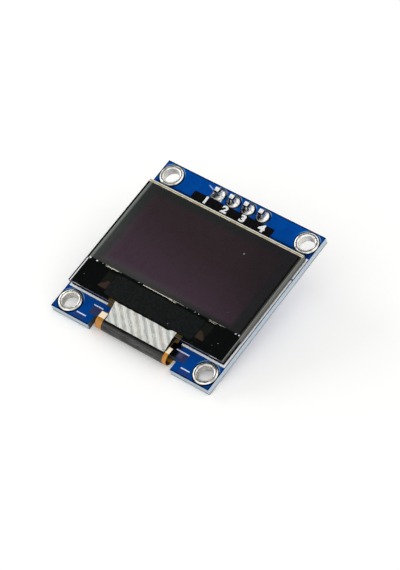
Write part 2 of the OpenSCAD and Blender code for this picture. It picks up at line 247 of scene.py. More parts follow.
class Shader:
    """The node tree of a material or of the world, and the one method that adds a node to it."""

    def __init__(self, owner: bpy.types.Material | bpy.types.World) -> None:
        """Empties its owner's tree.

        Args:
            owner: The new material or world.
        """
        self.owner = owner
        owner.use_nodes = True
        self.tree = owner.node_tree
        self.tree.nodes.clear()

    def node(
        self,
        kind: str,
        settings: dict[str, object] | None = None,
        sockets: dict[int | str, object] | None = None,
    ) -> bpy.types.Node:
        """Adds a node, sets it up and joins its inputs.

        Args:
            kind: The node's type without its ShaderNode start.
            settings: Its own properties.
            sockets: A value or a link for each input, by number or name.

        Returns:
            The node.
        """
        node = self.tree.nodes.new("ShaderNode" + kind)
        for key, setting in (settings or {}).items():
            setattr(node, key, setting)
        for key, given in (sockets or {}).items():
            if isinstance(given, Value):
                self.tree.links.new(given.socket, node.inputs[key])
            else:
                node.inputs[key].default_value = given
        return node

    def value(
        self,
        kind: str,
        settings: dict[str, object] | None = None,
        sockets: dict[int | str, object] | None = None,
        output: int | str = 0,
    ) -> Value:
        """Adds a node and gives one of its outputs, by number or name."""
        return Value(self, self.node(kind, settings, sockets).outputs[output])

    def place(self) -> Place:
        """Where the shaded point is, in millimetres, and which way it looks.

        Returns:
            The place.
        """
        coordinate = self.value("TexCoord", output="Object")
        scaled = self.value("VectorMath", {"operation": "SCALE"}, {0: coordinate, "Scale": 1 / MM})
        at = self.node("SeparateXYZ", None, {0: scaled})
        normal = self.value("NewGeometry", output="True Normal")
        face = self.node("SeparateXYZ", None, {0: normal})
        parts = [Value(self, socket) for socket in at.outputs]
        faces = [Value(self, socket) for socket in face.outputs]
        return Place(*parts, scaled, *faces)

    def noise(self, place: Place, scale: float, detail: float = 3.0, stretch: Colour = (1, 1, 1)) -> Value:
        """Soft noise over the object.

        Args:
            place: The shaded point.
            scale: Noise cells to the millimetre.
            detail: The noise's detail.
            stretch: How much finer the noise is along each axis.

        Returns:
            The noise, from 0 to 1.
        """
        spread = self.value("VectorMath", {"operation": "MULTIPLY"}, {0: place.vector, 1: stretch})
        return self.value("TexNoise", None, {"Vector": spread, "Scale": scale, "Detail": detail})

    def mix(self, mask: "Value | float", under: "Value | Colour", over: "Value | Colour") -> Value:
        """Lays one colour over another.

        Args:
            mask: 0 shows the colour under, and 1 the colour over.
            under: The colour under.
            over: The colour over.

        Returns:
            The mixed colour.
        """
        first, second = (c if isinstance(c, Value) else (*c, 1.0) for c in (under, over))
        sockets = {0: mask, 6: first, 7: second}
        return self.value("Mix", {"data_type": "RGBA"}, sockets, 2)

    def bump(self, height: Value, depth: float) -> Value:
        """A bumped normal.

        Args:
            height: The relief, from 0 to 1.
            depth: What 1 stands for, in millimetres.

        Returns:
            The normal.
        """
        sockets = {"Strength": 1.0, "Distance": depth * MM, "Height": height}
        return self.value("Bump", None, sockets)

    def finish(self, **sockets: object) -> bpy.types.Material:
        """Closes the tree with a Principled shader.

        Args:
            sockets: The shader's inputs, with _ for a space in a name.

        Returns:
            The material.
        """
        named = {key.replace("_", " "): given for key, given in sockets.items()}
        for key, given in named.items():
            if isinstance(given, tuple) and len(given) == 3:
                named[key] = (*given, 1.0)
        surface = self.value("BsdfPrincipled", None, named)
        self.node("OutputMaterial", None, {"Surface": surface})
        return self.owner


# ---------------------------------------------------------------- finishes


@dataclass(frozen=True)
class Finish:
    """One finish of the module."""

    name: str

    def material(self) -> bpy.types.Material:
        """Builds the finish once, and gives it again after that.

        Returns:
            The material.
        """
        # the frame's own materials carry the plain names, so a finish adds to its name
        label = self.name + "_finish"
        found = bpy.data.materials.get(label)
        return found or self.build(Shader(bpy.data.materials.new(label)))

    def build(self, shader: Shader) -> bpy.types.Material:
        """Builds the finish's node tree."""
        raise NotImplementedError


@dataclass(frozen=True)
class SolderMask(Finish):
    """Glossy blue mask on the board's faces, and cut glass fibre on its edges."""

    blue: Colour = (0.0, 0.072, 0.37)
    deep_blue: Colour = (0.0, 0.048, 0.25)
    bare: Colour = (0.033, 0.042, 0.115)
    lilac_reflection: Colour = (0.12, 0.12, 0.19)
    mask_edge_highlight: Colour = (0.20, 0.38, 0.62)
    flux_glint: Colour = (0.30, 0.50, 0.78)
    gap: Colour = (0.002, 0.006, 0.03)
    rim: Colour = (0.001, 0.008, 0.05)
    shade: Colour = (0.002, 0.003, 0.006)
    fibre: Colour = (0.56, 0.65, 0.72)
    fibre_dark: Colour = (0.40, 0.49, 0.56)
    cut_foot: Colour = (0.20, 0.20, 0.23)
    notch_wall_shade: Colour = (0.05, 0.07, 0.08)
    mask_gap: float = 0.12
    ledge_foot: float = -5.5

    def build(self, shader: Shader) -> bpy.types.Material:
        """Builds the mask, with what lies under it and its openings round the rings.

        Args:
            shader: The finish's empty tree.

        Returns:
            The material.
        """
        at = shader.place()
        mottle = shader.noise(at, 0.55, 4.0)
        # painted light: the mask's blue grows lighter towards the board's top edge
        upper = at.y.ramp(-14.0, 12.0) * 0.45
        mask = shader.mix((mottle.ramp(0.3, 0.75) * 0.6 + upper).clamp(), self.deep_blue, self.blue)
        mask = shader.mix(self._tracks(at) * 0.45, mask, self.deep_blue)
        mask = shader.mix(self._bare_patches(at), mask, self.bare)
        # flux residue beside the first pad, painted pale blue as a glint on it
        flux_glint = at.x.between(-5.9, -5.0, 0.3) & (at.y + at.x * 0.35).between(11.02, 11.2, 0.12)
        mask = shader.mix(flux_glint * mottle.ramp(0.2, 0.5) * at.on_front(), mask, self.flux_glint)
        # painted highlight on the openings' upper edges, then their gaps with a painted shadow at the lower
        # right
        edge, gap = self._openings(at)
        mask = shader.mix(edge, mask, self.mask_edge_highlight)
        mask = shader.mix(gap, mask, self.gap)
        # painted reflection: a lilac patch on the glossy mask right of the flex
        lilac_reflection = at.x.between(6.3, 7.4, 0.6) & at.y.between(-11.7, -11.0, 0.5) & mottle.ramp(0.35, 0.6)
        mask = shader.mix(lilac_reflection * at.on_front() * 0.6, mask, self.lilac_reflection)
        mask = shader.mix(self._rim(at), mask, self.rim)
        mask = shader.mix(self._under_ledge(at) | self._beside_flex(at), mask, self.shade)
        return shader.finish(
            Base_Color=shader.mix(at.on_face(), self._cut(shader, at), mask),
            Roughness=at.on_face() * -0.48 + 0.62,
            Specular_IOR_Level=0.4,
            Normal=shader.bump(mottle * at.on_face(), 0.012),
        )

    def _cut(self, shader: Shader, at: Place) -> Value:
        """The cut edges: pale layers of glass cloth, with painted shade on the notch's walls.

        Args:
            shader: The finish's empty tree.
            at: The shaded point.

        Returns:
            Their colour.
        """
        weave = shader.noise(at, 2.2, 4.0, (1.0, 1.0, 9.0))
        fibre = shader.mix(weave.ramp(0.35, 0.65), self.fibre_dark, self.fibre)
        foot = at.z.ramp(BOARD.low.z + 0.34, BOARD.low.z + 0.16)
        fibre = shader.mix(foot * 0.8, fibre, self.cut_foot)
        # painted shade: the notch's walls under the flex's bend
        in_notch = abs(at.x).ramp(7.22, 7.16) & at.y.between(BOARD.low.y + 0.1, -11.6, 0.1)
        return shader.mix(in_notch, fibre, self.notch_wall_shade)

    @staticmethod
    def _rim(at: Place) -> Value:
        """The dark line along the board's edges, and a painted shadow on the board beyond the glass's upper
        edge.

        Args:
            at: The shaded point.

        Returns:
            The mask.
        """
        reach = BOARD.high
        sides = abs(at.x).ramp(reach.x - 0.2, reach.x - 0.14) | abs(at.y).ramp(reach.y - 0.26, reach.y - 0.16)
        # painted shadow: the board just beyond the glass's upper edge
        behind = at.y.between(9.3, 10.4, 0.14) & abs(at.x).ramp(13.4, 13.25) & at.z.ramp(0.4, 0.6)
        return (sides * 0.8 | behind * 0.75) * at.on_face()

    @staticmethod
    def _bare_patches(at: Place) -> Value:
        """The darker patches beside the notch, where no copper lies under the mask.

        Args:
            at: The shaded point.

        Returns:
            The mask.
        """
        side = abs(at.x)
        upper = side.between(6.2, 8.25, 0.3) & at.y.between(-12.2, -10.9, 0.12)
        lower = side.between(8.2, 10.2, 0.3) & at.y.between(-13.75, -12.95, 0.12)
        return (upper | lower * 0.45) * at.on_front()

    @staticmethod
    def _tracks(at: Place) -> Value:
        """The gaps between covered copper areas, beside the header.

        Args:
            at: The shaded point.

        Returns:
            The mask.
        """
        long_gap = abs(at.x).between(5.2, 9.7, 0.2) & at.y.between(13.0, 13.16, 0.1)
        short_gap = abs(at.x).between(7.6, 9.4, 0.2) & at.y.between(12.35, 12.45, 0.1)
        return (long_gap | short_gap) * at.on_front()

    def _under_ledge(self, at: Place) -> Value:
        """The board's face in the shade of the glass's ledge.

        Args:
            at: The shaded point.

        Returns:
            The mask.
        """
        across = abs(at.x).ramp(GLASS.high.x - 0.02, GLASS.high.x - 0.2)
        along = at.y.between(GLASS.low.y + 0.16, self.ledge_foot, 0.14)
        return across & along & at.on_front()

    @staticmethod
    def _beside_flex(at: Place) -> Value:
        """The board's face in the shade beside the flex's right edge."""
        across = at.x.ramp(5.0, 5.2) & at.x.ramp(6.95, 6.45)
        return across & at.y.between(-12.2, -9.7, 0.2) & at.on_front()

    def _openings(self, at: Place) -> tuple[Value, Value]:
        """The mask's opening round each ring and pad: a painted highlight along its edge on the upper side,
        and its dark gap, widened by a painted shadow towards the lower right.

        Args:
            at: The shaded point.

        Returns:
            The edge's mask and the gap's mask.
        """
        edge: Value | None = None
        gap: Value | None = None
        for ring in RINGS + PADS:
            centre, radius = ring.centre, ring.size.x / 2
            across, along = at.x - centre.x, at.y - centre.y
            distance = (across * across + along * along) ** 0.5
            outer = radius + self.mask_gap
            # painted highlight: only the upper side of each opening's edge is lit
            line = distance.between(outer, outer + 0.14, 0.1) & (along / distance).ramp(0.2, 0.8)
            # painted shadow: the gap widens towards the lower right
            wider = ((across - along) / distance).ramp(-0.2, 1.0) * 0.16
            hollow = (distance - wider).ramp(outer + 0.02, outer - 0.04)
            edge = line if edge is None else edge | line
            gap = hollow if gap is None else gap | hollow
        return edge * 0.8, gap


@dataclass(frozen=True)
class Metal(Finish):
    """Tinned copper, solder or plated brass, with uneven gloss."""

    colour: Colour = (0.80, 0.80, 0.78)
    dull: Colour = (0.55, 0.55, 0.54)
    gloss: float = 0.16
    unevenness: float = 0.22
    grain: float = 1.6
    relief: float = 0.03

    def build(self, shader: Shader) -> bpy.types.Material:
        """Builds the metal.

        Args:
            shader: The finish's empty tree.

        Returns:
            The material.
        """
        at = shader.place()
        patches = shader.noise(at, self.grain, 4.0)
        fine = shader.noise(at, self.grain * 5, 3.0)
        return shader.finish(
            Base_Color=shader.mix(patches.ramp(0.4, 0.7), self.colour, self.dull),
            Metallic=1.0,
            Roughness=patches * self.unevenness + self.gloss,
            Normal=shader.bump(patches * 0.7 + fine * 0.3, self.relief),
        )


@dataclass(frozen=True)
class PinMetal(Metal):
    """Plated pin: on the front its cut end is painted white as a highlight and its sides painted dark as a
    reflection; plain plated metal behind the board.
    """

    side: Colour = (0.16, 0.145, 0.12)
    tip_highlight: Colour = (0.97, 0.97, 0.96)

    def build(self, shader: Shader) -> bpy.types.Material:
        """Builds the metal.

        Args:
            shader: The finish's empty tree.

        Returns:
            The material.
        """
        at = shader.place()
        patches = shader.noise(at, self.grain, 4.0)
        # painted reflection: dark sides on the pin's front part, plain metal behind the board
        sides = shader.mix(patches.ramp(0.4, 0.7), self.side, self.dull)
        front = at.z.ramp(BOARD.low.z - 0.2, BOARD.low.z)
        sides = shader.mix(front, self.colour, sides)
        # painted highlight: the cut end is white and not metal
        tip_highlight = at.face_z.ramp(0.2, 0.4) | at.z.ramp(PINS[0].high.z - 0.2, PINS[0].high.z - 0.1)
        return shader.finish(
            Base_Color=shader.mix(tip_highlight, sides, self.tip_highlight),
            Metallic=1 - tip_highlight,
            Roughness=patches * self.unevenness + self.gloss,
            Normal=shader.bump(patches, self.relief),
        )


@dataclass(frozen=True)
class JointMetal(Metal):
    """Solder drawn into a hollow cone, with a painted dark reflection as a band between its bright flanks."""

    # the colour of the painted dark reflection
    band: Colour = (0.03, 0.03, 0.034)

    def build(self, shader: Shader) -> bpy.types.Material:
        """Builds the metal.

        Args:
            shader: The finish's empty tree.

        Returns:
            The material.
        """
        at = shader.place()
        patches = shader.noise(at, self.grain, 4.0)
        fine = shader.noise(at, self.grain * 4, 3.0)
        # painted reflection: a dark band set by which way each face of the cone looks
        lean = at.face_x * 0.8 - at.face_y * 0.25 + fine * 0.9 - 0.45
        band = lean.between(-0.34, 0.2, 0.16) & at.z.ramp(BOARD.high.z + 0.05, BOARD.high.z + 0.16)
        colour = shader.mix(patches.ramp(0.45, 0.7), self.colour, self.dull)
        return shader.finish(
            Base_Color=shader.mix(band, colour, self.band),
            Metallic=1.0,
            Roughness=patches * self.unevenness + self.gloss,
            Normal=shader.bump(patches * 0.6 + fine * 0.4, self.relief),
        )


@dataclass(frozen=True)
class Plastic(Finish):
    """Moulded or painted dark material with a fine grain."""

    colour: Colour = (0.02, 0.02, 0.021)
    wear_and_sheen: Colour = (0.05, 0.05, 0.052)
    roughness: float = 0.45
    grain: float = 8.0
    relief: float = 0.01
    specular: float = 0.5

    def build(self, shader: Shader) -> bpy.types.Material:
        """Builds the plastic.

        Args:
            shader: The finish's empty tree.

        Returns:
            The material.
        """
        at = shader.place()
        grain = shader.noise(at, self.grain, 3.0)
        return shader.finish(
            Base_Color=shader.mix(grain.ramp(0.45, 0.8), self.colour, self.wear_and_sheen),
            Roughness=grain * 0.2 + (self.roughness - 0.1),
            Specular_IOR_Level=self.specular,
            Normal=shader.bump(grain, self.relief),
        )


@dataclass(frozen=True)
class CoverFilm(Finish):
    """Glossy black film, with a painted streaky sheen on the faces of its bend."""

    black: Colour = (0.004, 0.004, 0.0045)
    sheen_streak: Colour = (0.075, 0.075, 0.072)

    def build(self, shader: Shader) -> bpy.types.Material:
        """Builds the film.

        Args:
            shader: The finish's empty tree.

        Returns:
            The material.
        """
        at = shader.place()
        streaks = shader.noise(at, 1.3, 5.0, (0.45, 2.6, 2.6))
        broad = shader.noise(at, 0.35, 2.0)
        # painted sheen: lighter streaks on the faces that turn with the bend
        outward = at.face_z.ramp(0.97, 0.75) & at.face_z.ramp(-0.7, -0.1)
        wear_and_sheen = streaks.ramp(0.36, 0.66) * outward * (broad.ramp(0.3, 0.6) * 0.5 + 0.5)
        return shader.finish(
            Base_Color=shader.mix(wear_and_sheen, self.black, self.sheen_streak),
            Roughness=streaks * 0.25 + 0.1,
            Specular_IOR_Level=0.5,
            Normal=shader.bump(streaks, 0.03),
        )


@dataclass(frozen=True)
class LedgeGlass(Finish):
    """The front glass: black, with clear or sealed margins, and what its ledge lets through."""

    black: Colour = (0.0035, 0.004, 0.004)
    clear: Colour = (0.80, 0.81, 0.80)
    seal: Colour = (0.26, 0.29, 0.255)
    grey: Colour = (0.055, 0.055, 0.048)
    pale: Colour = (0.78, 0.80, 0.72)
    cream: Colour = (0.84, 0.76, 0.56)
    tan: Colour = (0.50, 0.42, 0.24)
    gold: Colour = (0.22, 0.19, 0.09)
    brown: Colour = (0.040, 0.027, 0.020)
    olive: Colour = (0.011, 0.012, 0.009)
    amber: Colour = (0.075, 0.052, 0.012)
    smear: Colour = (0.012, 0.014, 0.013)
    right_edge: Colour = (0.09, 0.09, 0.078)
    # the bevel's painted highlight, and the painted glint on two stretches of it
    bevel: Colour = (0.19, 0.19, 0.235)
    bevel_glint: Colour = (0.85, 0.86, 0.88)
    ledge_top: float = -5.6

    def build(self, shader: Shader) -> bpy.types.Material:
        """Builds the glass.

        Args:
            shader: The finish's empty tree.

        Returns:
            The material.
        """
        at = shader.place()
        haze = shader.noise(at, 0.8, 4.0)
        colour = shader.mix(haze.ramp(0.55, 0.8) * 0.7, self.black, self.smear)
        colour = self._ledge(shader, at, colour)
        colour = self._margins(shader, at, colour)
        is_face = at.on_front()
        return shader.finish(
            Base_Color=shader.mix(is_face, self._edges(shader, at), colour),
            Roughness=(1 - is_face) * 0.2 + 0.04,
            Specular_IOR_Level=0.5,
        )

    def _margins(self, shader: Shader, at: Place, colour: Value) -> Value:
        """The seal's lines at the top and the left, and the clear rim beside the ledge.

        Args:
            shader: The finish's empty tree.
            at: The shaded point.
            colour: The colour so far.

        Returns:
            The colour with them.
        """
        from_top = at.y * -1 + GLASS.high.y
        from_left = at.x - GLASS.low.x
        on_ledge = at.y.ramp(self.ledge_top + 0.1, self.ledge_top - 0.1)
        seal = from_left.between(0.3, 0.62, 0.05) * (1 - on_ledge)
        rim = from_left.between(0.2, 0.38, 0.05) * on_ledge
        colour = shader.mix(seal, colour, self.seal)
        colour = shader.mix(rim, colour, self.clear)
        from_right = GLASS.high.x - at.x
        colour = shader.mix(from_right.ramp(0.34, 0.3) * (1 - on_ledge), colour, self.grey)
        colour = shader.mix(from_right.ramp(0.12, 0.07), colour, self.seal)
        wear_and_sheen = shader.noise(at, 1.3, 4.0).ramp(0.42, 0.6) * 0.7
        upper = shader.mix(wear_and_sheen, self.cream, self.tan)
        colour = shader.mix(from_top.ramp(0.44, 0.4), colour, upper)
        colour = shader.mix(from_top.between(0.15, 0.25, 0.04), colour, self.gold)
        return shader.mix(from_top.ramp(0.15, 0.11), colour, self.pale)

    def _ledge(self, shader: Shader, at: Place, colour: Value) -> Value:
        """The wiring's two fans beside the tape, and the flex behind the glass.

        Args:
            shader: The finish's empty tree.
            at: The shaded point.
            colour: The colour so far.

        Returns:
            The colour with them.
        """
        side = abs(at.x)
        fan = side.between(7.72, 9.1, 0.1) & at.y.between(-8.55, -5.9, 0.12)
        slope = (side + at.y).ramp(0.95, 0.75) & at.y.ramp(-7.2, -7.4)
        colour = shader.mix(fan * 0.8, colour, self.olive)
        colour = shader.mix(fan & slope, colour, self.brown)
        flex = side.between(4.9, 6.3, 0.2) & at.y.between(-9.75, -9.3, 0.1)
        return shader.mix(flex * 0.8, colour, self.amber)

    def _edges(self, shader: Shader, at: Place) -> Value:
        """The cut edges: grey at the right and black beside the ledge, with a thin bevel below painted
        lighter as a highlight, and painted white glints on two stretches of it.

        Args:
            shader: The finish's empty tree.
            at: The shaded point.

        Returns:
            Their colour.
        """
        # painted highlight: the bevel is lighter than the black edge below it
        bevel = at.z.ramp(GLASS.high.z - 0.22, GLASS.high.z - 0.14)
        # painted glints on two stretches of the bevel
        glint_spans = (at.x.between(-12.6, -11.3, 0.3) | at.x.between(11.2, 12.4, 0.3)) & bevel
        below = shader.mix(bevel, self.black, self.bevel)
        below = shader.mix(glint_spans, below, self.bevel_glint)
        beside = shader.mix(at.y.ramp(self.ledge_top, self.ledge_top - 0.4), self.right_edge, self.black)
        other = shader.mix(abs(at.face_x).ramp(0.4, 0.6), self.seal, beside)
        return shader.mix(at.face_y.ramp(-0.4, -0.6), other, below)


@dataclass(frozen=True)
class PolariserFilm(Finish):
    """Satin dark film whose picture area carries a painted purple-to-brown reflection, with a painted sheen
    near its left and lower edges, painted shade towards the upper right and painted light on its left edge.
    """

    edge_grey: Colour = (0.017, 0.018, 0.018)
    brown: Colour = (0.028, 0.0175, 0.0205)
    purple: Colour = (0.049, 0.028, 0.042)
    shadow: Colour = (0.013, 0.010, 0.013)
    edge_sheen: Colour = (0.062, 0.064, 0.062)
    lit_edge: Colour = (0.20, 0.22, 0.205)
    side: Colour = (0.004, 0.004, 0.005)

    def build(self, shader: Shader) -> bpy.types.Material:
        """Builds the film.

        Args:
            shader: The finish's empty tree.

        Returns:
            The material.
        """
        at = shader.place()
        area = at.x.between(-11.1, 11.2, 0.7) & at.y.between(-4.7, 7.6, 0.9)
        # painted reflection: purple towards the lower left, brown towards the upper right
        low = (at.y * -1 - at.x * 0.2).ramp(-5.0, 5.5)
        tint = shader.mix(low, self.brown, self.purple)
        colour = shader.mix(area, self.edge_grey, tint)
        colour = shader.mix((at.x + at.y * 0.5).ramp(4.0, 15.0) * 0.6, colour, self.shadow)
        inward = at.x - POLARISER.low.x
        # painted sheen near the film's left and lower edges
        pale = inward.ramp(3.2, 0.4) * (at.y.ramp(8.0, -2.0) * 0.45 + 0.12)
        pale = pale | (at.y - POLARISER.low.y).ramp(1.9, 0.5) * at.x.ramp(12.0, -6.0) * 0.5
        colour = shader.mix(pale, colour, self.edge_sheen)
        colour = shader.mix(inward.ramp(0.5, 0.1) * 0.85, colour, self.lit_edge)
        is_face = at.on_front()
        haze = shader.noise(at, 0.7, 5.0)
        return shader.finish(
            Base_Color=shader.mix(is_face, self.side, colour),
            Roughness=haze * 0.12 + 0.22,
            Specular_IOR_Level=0.35,
        )


@dataclass(frozen=True)
class SheetGlass(Finish):
    """Glass seen only at its edges."""

    edge: Colour = (0.125, 0.125, 0.108)
    deep: Colour = (0.055, 0.056, 0.052)

    def build(self, shader: Shader) -> bpy.types.Material:
        """Builds the glass, with a dark line along its middle.

        Args:
            shader: The finish's empty tree.

        Returns:
            The material.
        """
        at = shader.place()
        middle = REAR_GLASS.centre.z
        line = at.z.between(middle - 0.12, middle + 0.2, 0.1)
        return shader.finish(
            Base_Color=shader.mix(line, self.edge, self.deep),
            Roughness=0.12,
        )


@dataclass(frozen=True)
class Polyimide(Finish):
    """Amber flex film, with a painted cream highlight before its bend, painted shade near the glass, within
    its loop and under the silver film's lifted right edge, and copper lines in its tail.
    """

    amber: Colour = (0.62, 0.25, 0.02)
    dark: Colour = (0.115, 0.06, 0.012)
    loop_shade: Colour = (0.06, 0.024, 0.005)
    cream: Colour = (0.98, 0.86, 0.62)
    shade: Colour = (0.006, 0.005, 0.004)
    copper: Colour = (0.74, 0.36, 0.06)
    band: tuple[float, float] = (-12.3, -11.35)

    def build(self, shader: Shader) -> bpy.types.Material:
        """Builds the film.

        Args:
            shader: The finish's empty tree.

        Returns:
            The material.
        """
        at = shader.place()
        cloud = shader.noise(at, 1.4, 3.0)
        front = at.z.ramp(FLEX.high.z - 0.2, FLEX.high.z - 0.08)
        colour = shader.mix(cloud.ramp(0.35, 0.7) * 0.45, self.amber, self.dark)
        # painted shade: the front face darker near the glass
        colour = shader.mix(at.y.ramp(-11.4, -11.1) & front, colour, self.dark)
        # painted highlight: a cream glare band on the flat stretch before the bend
        colour = shader.mix(at.y.between(*self.band, 0.1) & front, colour, self.cream)
        # painted shadow of the silver film's lifted right edge
        beside = at.x.between(FILM.high.x - 1.0, FILM.high.x + 0.2, 0.12) & at.y.ramp(-12.2, -11.8)
        colour = shader.mix(beside & front, colour, self.shade)
        tail = at.z.ramp(BOARD.low.z + 0.02, BOARD.low.z) & at.face_z.ramp(-0.5, -0.7)
        colour = shader.mix(self._traces(at) & tail, colour, self.copper)
        # painted shade on the faces within the loop
        in_loop = at.face_y.ramp(0.05, 0.3) & at.z.ramp(BOARD.low.z - 0.2, BOARD.low.z)
        colour = shader.mix(in_loop, colour, self.loop_shade)
        return shader.finish(
            Base_Color=colour,
            Roughness=cloud * 0.15 + 0.16,
            Specular_IOR_Level=0.6,
        )

    @staticmethod
    def _traces(at: Place) -> Value:
        """The copper lines in the tail, fanning out from the bend to the soldered fingers.

        Args:
            at: The shaded point.

        Returns:
            The mask.
        """
        spread = at.y.ramp(-9.9, FINGERS.low.y - 0.2) * 0.75 + 1
        turns = (at.x - FINGERS.centre.x) / spread / 0.36
        lines = turns.maths("PINGPONG", 0.5).ramp(0.2, 0.3)
        return lines & at.y.ramp(FINGERS.high.y, FINGERS.low.y) & abs(turns).ramp(14.6, 14.4)


@dataclass(frozen=True)
class RibbedFilm(Finish):
    """Silvery white film, with painted shade in the hollows and along the creases between its slanting ribs.
    """

    white: Colour = (0.78, 0.79, 0.735)
    grey: Colour = (0.49, 0.50, 0.47)
    hollow: Colour = (0.44, 0.46, 0.44)
    crease: Colour = (0.13, 0.13, 0.13)
    pink: Colour = (0.68, 0.58, 0.48)
    blue: Colour = (0.50, 0.58, 0.62)

    def build(self, shader: Shader) -> bpy.types.Material:
        """Builds the film.

        Args:
            shader: The finish's empty tree.

        Returns:
            The material.
        """
        at = shader.place()
        wander = shader.noise(at, RIB_WANDER_SCALE, 1.0)
        across = at.x + at.y * RIB_SLOPE
        along = at.y - at.x * 0.2
        lengthways = shader.value("CombineXYZ", None, {0: across * 1.6, 1: along * 0.5, 2: at.z})
        streaks = shader.noise(replace(at, vector=lengthways), 2.4, 4.0)
        specks = shader.noise(at, 4.5, 4.0)
        tint = shader.noise(replace(at, vector=lengthways), 1.1, 3.0)
        turns = across / RIB_PITCH + wander * RIB_WANDER
        rib = turns.maths("PINGPONG", 0.5) * 2
        colour = shader.mix(streaks.ramp(0.45, 0.75) * 0.6, self.white, self.grey)
        # painted shade in the hollows between the ribs, with pink and blue tints there
        hollow = rib.ramp(0.62, 0.3)
        colour = shader.mix(hollow * (streaks.ramp(0.28, 0.6) * 0.7 + 0.2), colour, self.hollow)
        colour = shader.mix(tint.ramp(0.5, 0.64) * 0.45 * hollow, colour, self.pink)
        colour = shader.mix(tint.ramp(0.46, 0.36) * 0.35 * hollow, colour, self.blue)
        # painted shade along thin creases in the ribs
        crease = rib.between(0.42, 0.52, 0.06) | rib.between(0.0, 0.08, 0.06)
        colour = shader.mix(crease * specks.ramp(0.42, 0.6) * 0.75, colour, self.crease)
        return shader.finish(
            Base_Color=colour,
            Metallic=0.1,
            Roughness=streaks * 0.2 + 0.3,
            Normal=shader.bump(streaks, 0.03),
        )


@dataclass(frozen=True)
class Ceramic(Finish):
    """A chip part: its body in the middle and tinned ends."""

    body: Colour = (0.40, 0.27, 0.15)
    end: Colour = (0.74, 0.74, 0.72)
    parts: tuple[str, ...] = ()

    def build(self, shader: Shader) -> bpy.types.Material:
        """Builds the two finishes, parted where each chip's ends start.

        Args:
            shader: The finish's empty tree.

        Returns:
            The material.
        """
        at = shader.place()
        grain = shader.noise(at, 5.0, 3.0)
        is_body: Value | None = None
        for name in self.parts:
            box = Extent.of(name)
            half = box.size.y / 2 - 0.3
            mask = at.y.between(box.centre.y - half, box.centre.y + half, 0.02)
            is_body = mask if is_body is None else is_body | mask
        body = shader.mix(grain.ramp(0.4, 0.7), self.body, tuple(c * 0.8 for c in self.body))
        return shader.finish(
            Base_Color=shader.mix(is_body, self.end, body),
            Metallic=1 - is_body,
            Roughness=grain * 0.2 + 0.28,
            Normal=shader.bump(grain, 0.008),
        )


@dataclass(frozen=True)
class Ink(Finish):
    """Printed ink, slightly uneven."""

    colour: Colour = (0.86, 0.88, 0.93)
    thin: Colour = (0.62, 0.68, 0.84)
    roughness: float = 0.5

    def build(self, shader: Shader) -> bpy.types.Material:
        """Builds the ink.

        Args:
            shader: The finish's empty tree.

        Returns:
            The material.
        """
        at = shader.place()
        uneven = shader.noise(at, 3.0, 4.0)
        return shader.finish(
            Base_Color=shader.mix(uneven.ramp(0.45, 0.75), self.colour, self.thin),
            Roughness=self.roughness,
            Normal=shader.bump(uneven, 0.01),
        )


class Look(Enum):
    """The module's finishes."""

    MASK = SolderMask("blue_mask")
    TIN = Metal("tinned_copper", (0.93, 0.92, 0.87), (0.52, 0.51, 0.47), 0.12, 0.3, 1.1, 0.12)
    SOLDER = Metal("solder", (0.78, 0.78, 0.77), (0.42, 0.42, 0.42), 0.12, 0.2, 1.9, 0.05)
    JOINT = JointMetal("joint_solder", (0.95, 0.95, 0.94), (0.62, 0.62, 0.6), 0.08, 0.2, 1.9, 0.05)
    PIN = PinMetal("plated_pin", (0.95, 0.92, 0.84), (0.4, 0.37, 0.3), 0.2, 0.15, 2.5, 0.01)
    LEAD = Metal("lead", (0.72, 0.72, 0.70), (0.55, 0.55, 0.53), 0.28, 0.15, 3.0, 0.01)
    MOULDING = Plastic("header_plastic")
    PACKAGE = Plastic("package_plastic", (0.024, 0.024, 0.025), (0.05, 0.05, 0.05), 0.6, 12.0, 0.015)
    FOAM = Plastic("black_foam", (0.012, 0.012, 0.012), (0.04, 0.04, 0.04), 0.9, 9.0, 0.06)
    TAPE = Plastic("black_tape", (0.005, 0.0068, 0.0066), (0.009, 0.011, 0.011), 0.3, 3.0, 0.003, 0.3)
    COVER = CoverFilm("cover_film")
    SILICON = Plastic("driver_silicon", (0.06, 0.06, 0.075), (0.09, 0.09, 0.1), 0.2, 3.0, 0.004)
    ADHESIVE = Plastic("adhesive_sheet", (0.74, 0.74, 0.70), (0.62, 0.62, 0.58), 0.7, 4.0, 0.02)
    LEDGE_GLASS = LedgeGlass("front_glass")
    REAR_GLASS = SheetGlass("rear_glass")
    POLARISER = PolariserFilm("polariser")
    POLYIMIDE = Polyimide("polyimide")
    RIBBED = RibbedFilm("silver_film")
    WHITE_INK = Ink("white_ink", (0.98, 0.98, 0.97), (0.88, 0.90, 0.93))
    LILAC_INK = Ink("lilac_ink", (0.68, 0.74, 0.95), (0.46, 0.52, 0.80))
    BLACK_INK = Ink("black_ink", (0.005, 0.005, 0.006), (0.009, 0.009, 0.01), 0.16)
    # the adhesive beads, painted bright cream as glints
    GLINT = Ink("cured_adhesive_glint", (0.98, 0.93, 0.74), (0.42, 0.34, 0.15), 0.2)
    CLEAN_GLINT = Ink("clear_adhesive_glint", (0.98, 0.93, 0.80), (0.88, 0.80, 0.58), 0.2)
    DOT = Metal("panel_contact", (0.9, 0.92, 0.95), (0.7, 0.72, 0.75), 0.25, 0.1, 2.0, 0.01)
    TRACK = Plastic("covered_copper", (0.004, 0.15, 0.58), (0.003, 0.13, 0.50), 0.2, 1.0, 0.002, 0.4)
    BURR = Ink("broken_fibre", (0.62, 0.68, 0.70), (0.30, 0.34, 0.36), 0.7)
    CAPACITOR = Ceramic("capacitor", parts=tuple(nodes_like("capacitor_")))
    RESISTOR = Ceramic("resistor", (0.022, 0.022, 0.024), parts=tuple(nodes_like("resistor_")))

    @property
    def material(self) -> bpy.types.Material:
        """The finish's material."""
        return self.value.material()


